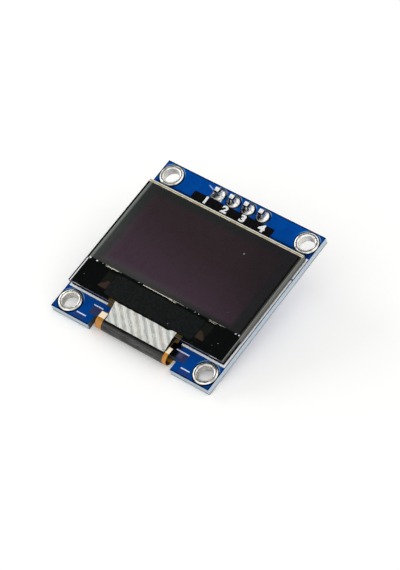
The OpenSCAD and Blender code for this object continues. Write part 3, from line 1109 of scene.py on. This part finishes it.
def dress(names: list[str], look: Look) -> None:
    """Gives CAD nodes a finish.

    Args:
        names: The nodes' names.
        look: Their finish.
    """
    for name in names:
        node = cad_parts[name]
        node.data.materials.clear()
        node.data.materials.append(look.material)


# ---------------------------------------------------------------- meshes


def add_piece(name: str, mesh: bpy.types.Mesh, look: Look | None = None) -> bpy.types.Object:
    """Puts a finished mesh into the scene, riding on the module.

    Args:
        name: The piece's name.
        mesh: Its mesh, in metres.
        look: Its finish, where the mesh has none yet.

    Returns:
        The piece.
    """
    piece = bpy.data.objects.new(name, mesh)
    bpy.context.scene.collection.objects.link(piece)
    if look is not None:
        mesh.materials.clear()
        mesh.materials.append(look.material)
    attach(piece, ROOT)
    LOG.info("piece %s: %d faces", name, len(mesh.polygons))
    return piece


def to_mesh(name: str, shape: bmesh.types.BMesh, smooth: bool = False) -> bpy.types.Mesh:
    """Turns a shape in millimetres into a mesh in metres.

    Args:
        name: The mesh's name.
        shape: The shape, which is freed.
        smooth: Whether its faces are shaded smooth.

    Returns:
        The mesh.
    """
    bmesh.ops.scale(shape, vec=(MM, MM, MM), verts=shape.verts)
    for face in shape.faces:
        face.smooth = smooth
    mesh = bpy.data.meshes.new(name)
    shape.to_mesh(mesh)
    shape.free()
    return mesh


def add_prism(shape: bmesh.types.BMesh, outline: list[Point], low: float, high: float) -> None:
    """Adds an upright prism to a shape.

    Args:
        shape: The shape.
        outline: The prism's corners, counterclockwise.
        low: The height of its foot.
        high: The height of its top.
    """
    foot = [shape.verts.new((x, y, low)) for x, y in outline]
    top = [shape.verts.new((x, y, high)) for x, y in outline]
    shape.faces.new(foot[::-1])
    shape.faces.new(top)
    for i, corner in enumerate(foot):
        j = (i + 1) % len(foot)
        shape.faces.new((corner, foot[j], top[j], top[i]))


def rounded_box(low: Point, high: Point, radii: tuple[float, float, float, float]) -> list[Point]:
    """An upright rectangle's outline with rounded corners.

    Args:
        low: Its lower left corner.
        high: Its upper right corner.
        radii: The radii of its corners, counterclockwise from the lower left.

    Returns:
        The outline, counterclockwise.
    """
    steps = 6
    corners = [(low[0], low[1]), (high[0], low[1]), (high[0], high[1]), (low[0], high[1])]
    inward = [(1, 1), (-1, 1), (-1, -1), (1, -1)]
    outline: list[Point] = []
    for k, (corner, way, radius) in enumerate(zip(corners, inward, radii)):
        if radius == 0:
            outline.append(corner)
            continue
        middle = (corner[0] + way[0] * radius, corner[1] + way[1] * radius)
        for step in range(steps + 1):
            angle = math.pi * (1 + k / 2 + step / (2 * steps))
            outline.append((middle[0] + radius * math.cos(angle), middle[1] + radius * math.sin(angle)))
    return outline


# ---------------------------------------------------------------- geometry nodes


class NodeShape:
    """A Geometry Nodes tree with named inputs, run once and turned into a plain mesh."""

    def __init__(self, name: str, inputs: dict[str, tuple[str, object]]) -> None:
        """Starts a tree.

        Args:
            name: The tree's name.
            inputs: Each named input's socket type and value.
        """
        self.tree = bpy.data.node_groups.new(name, "GeometryNodeTree")
        self.values = inputs
        interface = self.tree.interface
        interface.new_socket("Geometry", in_out="INPUT", socket_type="NodeSocketGeometry")
        interface.new_socket("Geometry", in_out="OUTPUT", socket_type="NodeSocketGeometry")
        for key, (kind, _) in inputs.items():
            interface.new_socket(key, in_out="INPUT", socket_type="NodeSocket" + kind)
        self.start = self.tree.nodes.new("NodeGroupInput")

    def given(self, name: str) -> bpy.types.NodeSocket:
        """The socket of a named input."""
        return self.start.outputs[name]

    def node(
        self,
        kind: str,
        settings: dict[str, object] | None = None,
        sockets: dict[int | str, object] | None = None,
        output: int | str = 0,
    ) -> bpy.types.NodeSocket:
        """Adds a node, sets it up, joins its inputs and gives one of its outputs.

        Args:
            kind: The node's full type.
            settings: Its own properties.
            sockets: A value or a link for each input, by number or name.
            output: The output that is wanted.

        Returns:
            That output's socket.
        """
        node = self.tree.nodes.new(kind)
        for key, setting in (settings or {}).items():
            setattr(node, key, setting)
        for key, given in (sockets or {}).items():
            if isinstance(given, bpy.types.NodeSocket):
                self.tree.links.new(given, node.inputs[key])
            else:
                node.inputs[key].default_value = given
        return node.outputs[output]

    def maths(self, operation: str, *values: object) -> bpy.types.NodeSocket:
        """Adds one Math node over the values given."""
        return self.node("ShaderNodeMath", {"operation": operation}, dict(enumerate(values)))

    def close(self, geometry: bpy.types.NodeSocket, look: Look) -> None:
        """Ends the tree in Realize Instances and Set Material.

        Args:
            geometry: The finished geometry.
            look: Its finish.
        """
        real = self.node("GeometryNodeRealizeInstances", None, {0: geometry})
        set_up = {"Geometry": real, "Material": look.material}
        done = self.node("GeometryNodeSetMaterial", None, set_up)
        end = self.tree.nodes.new("NodeGroupOutput")
        self.tree.links.new(done, end.inputs[0])

    def run(self, name: str, base: bpy.types.Mesh) -> bpy.types.Mesh:
        """Runs the tree on a base mesh.

        Args:
            name: The resulting mesh's name.
            base: The mesh that the tree starts from.

        Returns:
            The result as a plain mesh.
        """
        carrier = bpy.data.objects.new(name + "_base", base)
        bpy.context.scene.collection.objects.link(carrier)
        modifier = carrier.modifiers.new(name, "NODES")
        modifier.node_group = self.tree
        for item in self.tree.interface.items_tree:
            if item.in_out == "INPUT" and item.name in self.values:
                modifier[item.identifier] = self.values[item.name][1]
        graph = bpy.context.evaluated_depsgraph_get()
        mesh = bpy.data.meshes.new_from_object(carrier.evaluated_get(graph))
        mesh.name = name
        carrier.modifiers.remove(modifier)
        bpy.data.objects.remove(carrier)
        return mesh


def polyline(name: str, lines: list[list[Point3]]) -> bpy.types.Mesh:
    """Makes a mesh of bare edges.

    Args:
        name: The mesh's name.
        lines: The points of each line, in millimetres.

    Returns:
        The mesh, in metres.
    """
    points: list[Vector] = []
    edges: list[tuple[int, int]] = []
    for line in lines:
        start = len(points)
        points.extend(Vector(point) * MM for point in line)
        edges.extend((start + i, start + i + 1) for i in range(len(line) - 1))
    mesh = bpy.data.meshes.new(name)
    mesh.from_pydata(points, edges, [])
    return mesh


def ragged_bead(name: str, radius: float, wander: float, seed: int, look: Look) -> NodeShape:
    """A tree that turns lines into a thin bead of uneven width.

    Args:
        name: The tree's name.
        radius: The bead's greatest radius.
        wander: How far its path strays.
        seed: Picks one of the possible beads.
        look: Its finish.

    Returns:
        The tree.
    """
    shape = NodeShape(
        name,
        {
            "Radius": ("Float", radius * MM),
            "Wander": ("Float", wander * MM),
            "Step": ("Float", 0.07 * MM),
            "Seed": ("Float", float(seed)),
        },
    )
    curve = shape.node("GeometryNodeMeshToCurve", None, {0: shape.given("Geometry")})
    path = shape.node("GeometryNodeResampleCurve", None, {"Curve": curve})
    path.node.mode = "LENGTH"
    shape.tree.links.new(shape.given("Step"), path.node.inputs["Length"])
    position = shape.node("GeometryNodeInputPosition")
    four_d = {"noise_dimensions": "4D"}
    width = {"Vector": position, "W": shape.given("Seed"), "Scale": 2300.0, "Detail": 2.0}
    uneven = shape.node("ShaderNodeTexNoise", four_d, width)
    drift = shape.node(
        "ShaderNodeTexNoise", four_d,
        {"Vector": position, "W": shape.given("Seed"), "Scale": 1100.0, "Detail": 2.0}, "Color",
    )
    centred = shape.node("ShaderNodeVectorMath", {"operation": "SUBTRACT"}, {0: drift, 1: (0.5, 0.5, 0.5)})
    flat = shape.node("ShaderNodeVectorMath", {"operation": "MULTIPLY"}, {0: centred, 1: (1.0, 1.0, 0.2)})
    offset = shape.node(
        "ShaderNodeVectorMath", {"operation": "SCALE"}, {0: flat, "Scale": shape.given("Wander")}
    )
    moved = shape.node("GeometryNodeSetPosition", None, {"Geometry": path, "Offset": offset})
    share = shape.node(
        "ShaderNodeMapRange", None, {0: uneven, 1: 0.38, 2: 0.66, 3: 0.14, 4: 1.0}
    )
    thick = shape.maths("MULTIPLY", share, shape.given("Radius"))
    tube = shape.node("GeometryNodeCurvePrimitiveCircle", None, {"Resolution": 6, "Radius": 1.0})
    bead = shape.node("GeometryNodeCurveToMesh", None, {"Curve": moved, "Profile Curve": tube})
    if "Scale" in bead.node.inputs:
        shape.tree.links.new(thick, bead.node.inputs["Scale"])
    shape.close(bead, look)
    return shape


def flat_track(name: str, width: float, rise: float, look: Look) -> NodeShape:
    """A tree that turns lines into low, flat ridges with eased bends.

    Args:
        name: The tree's name.
        width: The ridges' width.
        rise: Their height on either side of the line.
        look: Their finish.

    Returns:
        The tree.
    """
    inputs = {
        "Width": ("Float", width * MM),
        "Rise": ("Float", rise * 2 * MM),
        "Bend": ("Float", 0.35 * MM),
    }
    shape = NodeShape(name, inputs)
    curve = shape.node("GeometryNodeMeshToCurve", None, {0: shape.given("Geometry")})
    eased = shape.node("GeometryNodeFilletCurve", None, {"Curve": curve})
    eased.node.mode = "POLY"
    eased.node.inputs["Count"].default_value = 4
    shape.tree.links.new(shape.given("Bend"), eased.node.inputs["Radius"])
    sockets = {"Width": shape.given("Width"), "Height": shape.given("Rise")}
    section = shape.node("GeometryNodeCurvePrimitiveQuadrilateral", None, sockets)
    ridge = {"Curve": eased, "Profile Curve": section, "Fill Caps": True}
    shape.close(shape.node("GeometryNodeCurveToMesh", None, ridge), look)
    return shape


# ---------------------------------------------------------------- sub-assemblies


@dataclass
class BoardDress:
    """The circuit board's finish, its print and its broken lower edge."""

    ink: float = 0.02
    track: float = 0.3
    track_rise: float = 0.02
    track_short: float = 1.6
    track_turn: float = 1.2
    via: float = 0.32
    via_sides: int = 16
    free_via_y: float = -1.2
    free_via_xs: tuple[float, ...] = (-8.4, -6.2, 6.3, 8.8)
    chip_lap: float = 0.2
    frame_gap: float = 0.28
    header_gap: float = 0.12
    pen: float = 0.12
    burr: float = 0.11
    line: float = 0.32
    mark: float = 0.17
    strip_low: Point = (-7.2, 9.9)
    strip_high: Point = (6.67, 11.52)
    strip_corner: float = 0.3
    digit_height: float = 1.1
    digit_width: float = 1.25
    digit_middle: float = 10.88
    digit_centres: tuple[float, ...] = (-4.9, -1.56, 1.56, 4.84)

    def build(self) -> None:
        """Dresses the board."""
        dress(["circuit_board"], Look.MASK)
        self._burr()
        self._back_tracks()
        self._back_print()
        self._outline()
        self._marks()
        self._strip()
        self._digits()

    def _burr(self) -> None:
        """Glass cloth torn where the board was broken out of its sheet."""
        y, z = BOARD.low.y + self.burr, BOARD.low.z - 0.03
        ends = [(BOARD.low.x + 0.1, -7.2), (7.2, BOARD.high.x - 0.1)]
        lines = [[(start, y, z), (end, y, z)] for start, end in ends]
        tree = ragged_bead("board_burr", self.burr, 0.05, 8, Look.BURR)
        add_piece("board_burr", tree.run("board_burr", polyline("burr_lines", lines)))

    def _back_tracks(self) -> None:
        """Copper tracks under the mask on the back, from the chips to the flex's fingers or to vias."""
        chips = [Extent.of(name) for name in nodes_like("capacitor_") + nodes_like("resistor_")]
        near_flex = sorted((chip for chip in chips if chip.centre.y < 0), key=lambda chip: chip.centre.x)
        near_pins = sorted((chip for chip in chips if chip.centre.y > 0), key=lambda chip: chip.centre.x)
        z = BOARD.low.z
        lines = []
        for chip in near_flex:
            x = chip.centre.x
            lines.append([(x, chip.low.y + self.chip_lap, z), (x, FINGERS.high.y - 0.1, z)])
        for chip in near_flex[1:-1]:
            x, top, bend = chip.centre.x, chip.high.y - self.chip_lap, PINS[0].low.y - 10.5
            lines.append([(x, top, z), (x, bend, z), (x + 0.8, bend + 0.8, z)])
        for chip in near_pins:
            x, foot = chip.centre.x, chip.low.y + self.chip_lap
            bend = foot - self.track_short
            turn = self.track_turn if x > 0 else -self.track_turn
            lines.append([(x, foot, z), (x, bend, z), (x + turn, bend - self.track_turn, z)])
            lines.append([(x, chip.high.y - self.chip_lap, z), (x, chip.high.y + 0.9, z)])
        tree = flat_track("covered_tracks", self.track, self.track_rise, Look.TRACK)
        add_piece("covered_tracks", tree.run("covered_tracks", polyline("track_lines", lines)))
        vias = [line[-1] for line in lines if len(line) == 3]
        vias += [(x, self.free_via_y, z) for x in self.free_via_xs]
        angles = [2 * math.pi * turn / self.via_sides for turn in range(self.via_sides)]
        shape = bmesh.new()
        for x, y, _ in vias:
            disc = [(x + self.via * math.cos(a), y + self.via * math.sin(a)) for a in angles]
            add_prism(shape, disc, z - self.track_rise * 1.5, z)
        add_piece("covered_vias", to_mesh("covered_vias", shape), Look.TRACK)

    def _back_print(self) -> None:
        """White lines on the back: a frame round each chip, and round the header."""
        names = nodes_like("capacitor_") + nodes_like("resistor_")
        frames = [(Extent.of(name), self.frame_gap) for name in names]
        frames.append((Extent.of("header_moulding"), self.header_gap))
        boxes: list[tuple[Point, Point]] = []
        pen = self.pen
        for box, gap in frames:
            x0, x1 = box.low.x - gap, box.high.x + gap
            y0, y1 = box.low.y - gap, min(box.high.y + gap, BOARD.high.y - 0.05)
            boxes += [((x0 - pen, y0), (x0, y1)), ((x1, y0), (x1 + pen, y1))]
            if gap == self.header_gap:
                boxes.append(((x0, y0 - pen), (x1, y0)))
        self._boxes("back_print", boxes, Look.WHITE_INK, on_back=True)

    def _boxes(
        self, name: str, boxes: list[tuple[Point, Point]], look: Look, on_back: bool = False
    ) -> None:
        """Prints rectangles on one face.

        Args:
            name: The print's name.
            boxes: The rectangles' lower left and upper right corners.
            look: Its ink.
            on_back: Whether it is on the board's back.
        """
        low_z = BOARD.low.z - self.ink if on_back else BOARD.high.z
        shape = bmesh.new()
        for low, high in boxes:
            add_prism(shape, rounded_box(low, high, (0, 0, 0, 0)), low_z, low_z + self.ink)
        add_piece(name, to_mesh(name, shape), look)

    def _outline(self) -> None:
        """The white frame printed round the panel."""
        low = GLASS.low.y
        half = self.line / 2
        left, right = -13.42, 13.33
        self._boxes(
            "printed_frame",
            [
                ((left, low - half), (-5.1, low + half)),
                ((left, low + half), (left + 0.2, low + 0.42)),
                ((6.25, low - half), (right - 0.1, low + half)),
                ((right - 0.12, low - half), (right + 0.2, 5.88)),
                ((right - 0.12, 6.12), (right + 0.2, 9.8)),
            ],
            Look.WHITE_INK,
        )

    def _marks(self) -> None:
        """The short lines beside the notch."""
        half = self.mark / 2
        spans = [(-8.3, -6.7, -10.8), (-9.8, -8.2, -12.88), (6.1, 8.25, -10.8), (8.3, 9.8, -12.85)]
        boxes = [((x0, y - half), (x1, y + half)) for x0, x1, y in spans]
        self._boxes("printed_marks", boxes, Look.LILAC_INK)

    def _strip(self) -> None:
        """The black patch under the pin numbers."""
        corner = self.strip_corner
        shape = bmesh.new()
        outline = rounded_box(self.strip_low, self.strip_high, (0, 0, corner, corner))
        add_prism(shape, outline, BOARD.high.z, BOARD.high.z + self.ink)
        add_piece("number_strip", to_mesh("number_strip", shape), Look.BLACK_INK)

    def _digits(self) -> None:
        """Plain numbers, one for each pin."""
        for number, x in enumerate(self.digit_centres, start=1):
            curve = bpy.data.curves.new(f"digit_{number}", "FONT")
            curve.body = str(number)
            curve.size = self.digit_height * 1.42 * MM
            curve.extrude = self.ink / 2 * MM
            curve.offset = 0.075 * MM
            curve.resolution_u = 6
            carrier = bpy.data.objects.new("digit", curve)
            bpy.context.scene.collection.objects.link(carrier)
            graph = bpy.context.evaluated_depsgraph_get()
            mesh = bpy.data.meshes.new_from_object(carrier.evaluated_get(graph))
            bpy.data.objects.remove(carrier)
            corners = [vertex.co for vertex in mesh.vertices]
            across = (min(c.x for c in corners) + max(c.x for c in corners)) / 2
            along = (min(c.y for c in corners) + max(c.y for c in corners)) / 2
            to = Vector((x, self.digit_middle, BOARD.high.z + self.ink * 1.5)) * MM
            mesh.transform(Matrix.Translation(Vector((-across, -along, 0))))
            mesh.transform(Matrix.Translation(to) @ Matrix.Diagonal((self.digit_width, 1, 1, 1)))
            add_piece(f"pin_number_{number}", mesh, Look.WHITE_INK)


@dataclass
class JointDress:
    """The rings, pads, pins and solder."""

    def build(self) -> None:
        """Dresses the metal pieces."""
        dress(nodes_like("mounting_ring_"), Look.TIN)
        dress(nodes_like("header_pad_"), Look.TIN)
        dress(nodes_like("header_pin_"), Look.PIN)
        dress(nodes_like("solder_joint_"), Look.JOINT)
        dress(["flex_solder_row", "component_solder"], Look.SOLDER)
        dress(["header_moulding"], Look.MOULDING)


@dataclass
class PanelDress:
    """The glass, its films and the cured adhesive along the polariser's lower edge."""

    spans: tuple[Point, ...] = ((-10.1, -7.6), (0.9, 3.7), (7.9, 10.5))
    clean_spans: tuple[Point, ...] = ((-9.7, -7.9), (-3.5, 1.6))
    bead: float = 0.038
    contacts: tuple[tuple[float, float], ...] = (
        (-12.8, 0.18), (-11.6, 0.18), (12.4, 0.14), (12.9, 0.13),
        (-10.6, 0.07), (-7.4, 0.06), (-4.2, 0.08), (-2.9, 0.08), (4.1, 0.06), (5.5, 0.07), (6.1, 0.09),
    )
    dust: tuple[tuple[float, float, float, float], ...] = (
        (5.96, 5.54, 0.075, POLARISER.high.z), (3.3, -8.7, 0.05, TAPE.high.z),
        (-7.1, 8.9, 0.035, POLARISER.high.z), (9.6, -3.2, 0.03, POLARISER.high.z),
        (11.2, -7.8, 0.04, GLASS.high.z), (10.6, -8.4, 0.035, GLASS.high.z),
        (-11.9, -8.0, 0.035, GLASS.high.z),
    )

    def build(self) -> None:
        """Dresses the panel."""
        self._bead()
        self._specks()
        dress(["front_glass"], Look.LEDGE_GLASS)
        dress(["rear_glass"], Look.REAR_GLASS)
        dress(["polariser"], Look.POLARISER)
        dress(["black_tape"], Look.TAPE)
        dress(["driver_chip"], Look.SILICON)
        dress(["foam_pad_left", "foam_pad_right"], Look.FOAM)
        dress(["adhesive_sheet"], Look.ADHESIVE)

    def _bead(self) -> None:
        """The cured adhesive that glints along the polariser's lower edge."""
        y, z = POLARISER.low.y - 0.02, GLASS.high.z + 0.02
        lines = [[(start, y, z), (end, y, z)] for start, end in self.spans]
        lines += [[(start + 0.1, y - 0.16, z), ((start + end) / 2, y - 0.2, z)] for start, end in self.spans]
        # the beads' bright cream is a painted glint
        tree = ragged_bead("adhesive_bead", self.bead, 0.035, 3, Look.GLINT)
        add_piece("adhesive_bead", tree.run("adhesive_bead", polyline("bead_lines", lines)))
        shape = bmesh.new()
        for start, end in self.clean_spans:
            outline = rounded_box((start, y - 0.1), (end, y - 0.02), (0.03,) * 4)
            add_prism(shape, outline, GLASS.high.z, GLASS.high.z + 0.05)
        add_piece("clean_bead", to_mesh("clean_bead", shape), Look.CLEAN_GLINT)

    def _specks(self) -> None:
        """The panel's bright contact dots along that edge, and a little dust."""
        y = POLARISER.low.y - 0.02
        specks = [(x, y, size, GLASS.high.z) for x, size in self.contacts] + list(self.dust)
        shape = bmesh.new()
        for x, along, size, z in specks:
            middle = Matrix.Translation((x, along, z)) @ Matrix.Diagonal((size, size, size * 0.5, 1))
            bmesh.ops.create_icosphere(shape, subdivisions=2, radius=1.0, matrix=middle)
        add_piece("panel_specks", to_mesh("panel_specks", shape, smooth=True), Look.DOT)


@dataclass
class FlexDress:
    """The flex, its cover film and the ribbed silver film."""

    height: float = 0.09
    columns: int = 150
    rows: int = 50
    recess: float = 0.75
    recess_ends: Point = (-11.35, -10.3)

    def build(self) -> None:
        """Dresses the flex."""
        self._recessed_flex()
        dress(["flex_cover_film"], Look.COVER)
        piece = add_piece("ribbed_film", self._ribs().run("ribbed_film", self._sheet()))
        for face in piece.data.polygons:
            face.use_smooth = True
        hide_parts("silver_film")

    def _recessed_flex(self) -> None:
        """The flex, drawn in on both sides just below the glass."""
        shape = bmesh.new()
        near, far = self.recess_ends
        for side, edge in ((-1, COVER.low.x - 0.9), (1, COVER.high.x + 0.85)):
            inner, outer = edge - side * self.recess, edge + side * 0.6
            low, high = (min(inner, outer), near), (max(inner, outer), far)
            radii = (0.25,) * 4
            add_prism(shape, rounded_box(low, high, radii), BOARD.high.z + 0.2, FLEX.high.z + 0.2)
        cutter = bpy.data.objects.new("recess_cutter", to_mesh("recess_cutter", shape))
        bpy.context.scene.collection.objects.link(cutter)
        carrier = bpy.data.objects.new("flex_base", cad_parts["display_flex"].data.copy())
        bpy.context.scene.collection.objects.link(carrier)
        cut = carrier.modifiers.new("recess", "BOOLEAN")
        cut.operation = "DIFFERENCE"
        cut.solver = "EXACT"
        cut.object = cutter
        graph = bpy.context.evaluated_depsgraph_get()
        mesh = bpy.data.meshes.new_from_object(carrier.evaluated_get(graph))
        for spare in (carrier, cutter):
            bpy.data.objects.remove(spare)
        piece = add_piece("recessed_flex", mesh, Look.POLYIMIDE)
        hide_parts("display_flex")

    def _section(self) -> list[Point]:
        """The film's side view as (y, z): over the glass, down its edge, along the flex.

        Returns:
            Its points.
        """
        top, low = FILM.high.z, COVER.high.z + 0.08
        edge, foot = GLASS.low.y, FILM.low.y
        return [
            (FILM.high.y - 0.24, top), (edge, top), (edge - 0.5, top - 0.12),
            (foot + 0.75, low + 0.02), (foot, low),
        ]

    def _sheet(self) -> bpy.types.Mesh:
        """The flat sheet laid over its section, before the ribs are pressed in.

        Returns:
            The sheet, in metres.
        """
        section = self._section()
        lengths = [0.0]
        for a, b in zip(section, section[1:]):
            lengths.append(lengths[-1] + math.dist(a, b))
        shape = bmesh.new()
        grid: list[list[bmesh.types.BMVert]] = []
        for row in range(self.rows + 1):
            share = row / self.rows
            y, z = self._along(section, lengths, share * lengths[-1])
            left = FILM.low.x + 0.35 * share
            line = []
            for column in range(self.columns + 1):
                across = column / self.columns
                x = left + (FILM.high.x - left) * across
                rise, lift = self._stray(across, share)
                line.append(shape.verts.new((x, y + rise, z + lift)))
            grid.append(line)
        for row in range(self.rows):
            for column in range(self.columns):
                corners = (
                    grid[row + 1][column], grid[row + 1][column + 1],
                    grid[row][column + 1], grid[row][column],
                )
                shape.faces.new(corners)
        return to_mesh("film_sheet", shape, smooth=True)

    @staticmethod
    def _stray(across: float, down: float) -> Point:
        """How far the film's upper edge wanders along Y, and its right edge lifts along Z.

        Args:
            across: How far along the film's upper edge, from 0 to 1.
            down: How far down the film, from 0 to 1.

        Returns:
            The two lengths.
        """
        corner = 0.22 / (1 + math.exp(-(across - 0.91) * 90))
        dip = 0.09 * math.exp(-(((across - 0.83) / 0.06) ** 2))
        lift = 0.1 * max(0.0, (across - 0.93) / 0.07) ** 2 * (1 - abs(2 * down - 1))
        return (corner - dip) * max(0.0, 1 - down * 3) ** 1.5, lift

    @staticmethod
    def _along(section: list[Point], lengths: list[float], distance: float) -> Point:
        """The point of a section at a distance along it.

        Args:
            section: The section's points.
            lengths: The distance to each of them along it.
            distance: The distance wanted.

        Returns:
            The point.
        """
        for i in range(len(section) - 1):
            if distance <= lengths[i + 1] + 1e-9:
                share = (distance - lengths[i]) / (lengths[i + 1] - lengths[i])
                a, b = section[i], section[i + 1]
                return a[0] + (b[0] - a[0]) * share, a[1] + (b[1] - a[1]) * share
        return section[-1]

    def _ribs(self) -> NodeShape:
        """A tree that presses slanting ribs into the sheet.

        Returns:
            The tree.
        """
        shape = NodeShape(
            "film_ribs",
            {
                "Pitch": ("Float", RIB_PITCH * MM),
                "Slope": ("Float", RIB_SLOPE),
                "Height": ("Float", self.height * MM),
                "Wander": ("Float", RIB_WANDER),
            },
        )
        position = shape.node("GeometryNodeInputPosition")
        split = shape.node("ShaderNodeSeparateXYZ", None, {0: position}).node
        fine = {"Vector": position, "Scale": RIB_WANDER_SCALE / MM, "Detail": 1.0}
        noise = shape.node("ShaderNodeTexNoise", None, fine)
        lean = shape.maths("MULTIPLY", split.outputs[1], shape.given("Slope"))
        across = shape.maths("ADD", split.outputs[0], lean)
        turns = shape.maths("DIVIDE", across, shape.given("Pitch"))
        turns = shape.maths("ADD", turns, shape.maths("MULTIPLY", noise, shape.given("Wander")))
        wave = shape.maths("PINGPONG", turns, 0.5)
        rib = shape.maths("POWER", shape.maths("MULTIPLY", wave, 2.0), 0.7)
        lift = shape.maths("MULTIPLY", shape.maths("SUBTRACT", rib, 1.0), shape.given("Height"))
        normal = shape.node("GeometryNodeInputNormal")
        offset = shape.node(
            "ShaderNodeVectorMath", {"operation": "SCALE"}, {0: normal, "Scale": lift}
        )
        sockets = {"Geometry": shape.given("Geometry"), "Offset": offset}
        ribbed = shape.node("GeometryNodeSetPosition", None, sockets)
        shape.close(ribbed, Look.RIBBED)
        return shape


@dataclass
class SmallPartDress:
    """The parts soldered to the board's back."""

    def build(self) -> None:
        """Dresses the small parts."""
        dress(nodes_like("capacitor_"), Look.CAPACITOR)
        dress(nodes_like("resistor_"), Look.RESISTOR)
        dress(["regulator_body"], Look.PACKAGE)
        dress(["regulator_leads"], Look.LEAD)


# ---------------------------------------------------------------- studio


@dataclass
class Studio:
    """The pale floor that the module leans on, its soft light and the camera."""

    lean: float = math.degrees(math.atan2(-PINS[0].low.z, PINS[0].centre.y - BOARD.low.y))
    target: Vector = field(default_factory=lambda: Vector((2.77, -0.93, 1.2)))
    azimuth: float = -37.44
    elevation: float = 55.35
    distance: float = 333.4
    lens: float = 154.13
    floor_half: float = 900.0
    paper: Colour = (0.906, 0.9, 0.88)
    paper_glow: float = 0.21
    key_way: Point3 = (-0.86, 0.16, 0.5)
    key_distance: float = 420
    key_size: float = 200
    key_level: float = 2.6
    level: float = 1.12
    dark_panel: tuple[float, float] = (24.0, 40.0)

    @property
    def up(self) -> Vector:
        """The floor's normal."""
        angle = math.radians(self.lean)
        return Vector((0, math.sin(angle), math.cos(angle)))

    @property
    def back(self) -> Vector:
        """The direction from the target to the camera."""
        turn, rise = math.radians(self.azimuth), math.radians(self.elevation)
        return Vector((math.cos(turn) * math.cos(rise), math.sin(turn) * math.cos(rise), math.sin(rise)))

    @property
    def screen_mirror(self) -> Vector:
        """The direction that the screen's face mirrors to the camera."""
        return Vector((-self.back.x, -self.back.y, self.back.z))

    def build(self) -> None:
        """Builds the floor, the lights and the camera."""
        self._floor()
        self._world()
        self._lamp("key_light", Vector(self.key_way), self.key_distance, self.key_size, self.key_level)
        self._camera()
        bpy.context.scene.view_settings.view_transform = "Standard"

    def _floor(self) -> None:
        """A pale plane under the pins' tips and the board's lower edge."""
        edge = Vector((0, BOARD.low.y, BOARD.low.z))
        across = Vector((1, 0, 0))
        along = self.up.cross(across)
        shape = bmesh.new()
        corners = [(-1, -1), (1, -1), (1, 1), (-1, 1)]
        shape.faces.new(
            shape.verts.new(edge + (across * a + along * b) * self.floor_half) for a, b in corners
        )
        floor = bpy.data.objects.new("floor", to_mesh("floor", shape))
        bpy.context.scene.collection.objects.link(floor)
        floor.data.materials.append(self._floor_material())

    def _floor_material(self) -> bpy.types.Material:
        """Pale paper, a little lighter to the camera alone, and nothing at all from below.

        Returns:
            The material.
        """
        shader = Shader(bpy.data.materials.new("pale_floor"))
        path = shader.node("LightPath")
        paper = shader.value("BsdfDiffuse", None, {"Color": (*self.paper, 1.0)})
        white = {"Color": (1.0, 1.0, 1.0, 1.0), "Strength": self.paper_glow}
        glow = shader.value("Emission", None, white)
        lit = shader.value("AddShader", None, {0: paper, 1: glow})
        seen = Value(shader, path.outputs["Is Camera Ray"])
        front = shader.value("MixShader", None, {0: seen, 1: paper, 2: lit})
        clear = shader.value("BsdfTransparent")
        below = shader.value("NewGeometry", output="Backfacing")
        surface = shader.value("MixShader", None, {0: below, 1: front, 2: clear})
        shader.node("OutputMaterial", None, {"Surface": surface})
        return shader.owner

    def _world(self) -> None:
        """A white tent, with the dark panel that keeps its light off the screen's face."""
        world = bpy.data.worlds.new("studio")
        bpy.context.scene.world = world
        shader = Shader(world)
        way = shader.value("TexCoord", output="Generated")
        dot = {"operation": "DOT_PRODUCT"}
        nearness = shader.value("VectorMath", dot, {0: way, 1: self.screen_mirror}, "Value")
        inner, outer = (math.cos(math.radians(angle)) for angle in self.dark_panel)
        tent = shader.mix(nearness.ramp(outer, inner), (self.level,) * 3, (0.02, 0.02, 0.022))
        path = shader.node("LightPath")
        seen = Value(shader, path.outputs["Is Camera Ray"])
        through = Value(shader, path.outputs["Is Transmission Ray"])
        colour = shader.mix(seen | through, tent, (1.0, 1.0, 1.0))
        light = shader.value("Background", None, {"Color": colour, "Strength": 1.0})
        shader.node("OutputWorld", None, {"Surface": light})

    def _lamp(self, name: str, way: Vector, distance: float, size: float, level: float) -> None:
        """Adds a square soft lamp.

        Args:
            name: The lamp's name.
            way: The direction from the module to it.
            distance: How far off it stands.
            size: The length of its side.
            level: Its power for each square metre of side, over pi.
        """
        light = bpy.data.lights.new(name, "AREA")
        light.size = size * MM
        light.energy = level * (size * MM) ** 2 * math.pi
        lamp = bpy.data.objects.new(name, light)
        bpy.context.scene.collection.objects.link(lamp)
        lamp.location = way.normalized() * distance * MM
        lamp.rotation_euler = way.to_track_quat("Z", "Y").to_euler()

    def _camera(self) -> None:
        """The camera, upright over the floor."""
        back = self.back
        right = self.up.cross(back).normalized()
        above = back.cross(right)
        camera = bpy.data.objects.new("camera", bpy.data.cameras.new("camera"))
        bpy.context.scene.collection.objects.link(camera)
        place = Matrix((right, above, back)).transposed().to_4x4()
        place.translation = (self.target + back * self.distance) * MM
        camera.matrix_world = place
        camera.data.lens = self.lens
        camera.data.sensor_width = 36.0
        camera.data.clip_start = 0.01
        camera.data.clip_end = 10.0
        bpy.context.scene.camera = camera


def main() -> None:
    """Dresses the module and builds its studio."""
    logging.basicConfig(level=logging.INFO, format="%(message)s")
    BoardDress().build()
    JointDress().build()
    PanelDress().build()
    FlexDress().build()
    SmallPartDress().build()
    Studio().build()


if __name__ == "__main__":
    main()
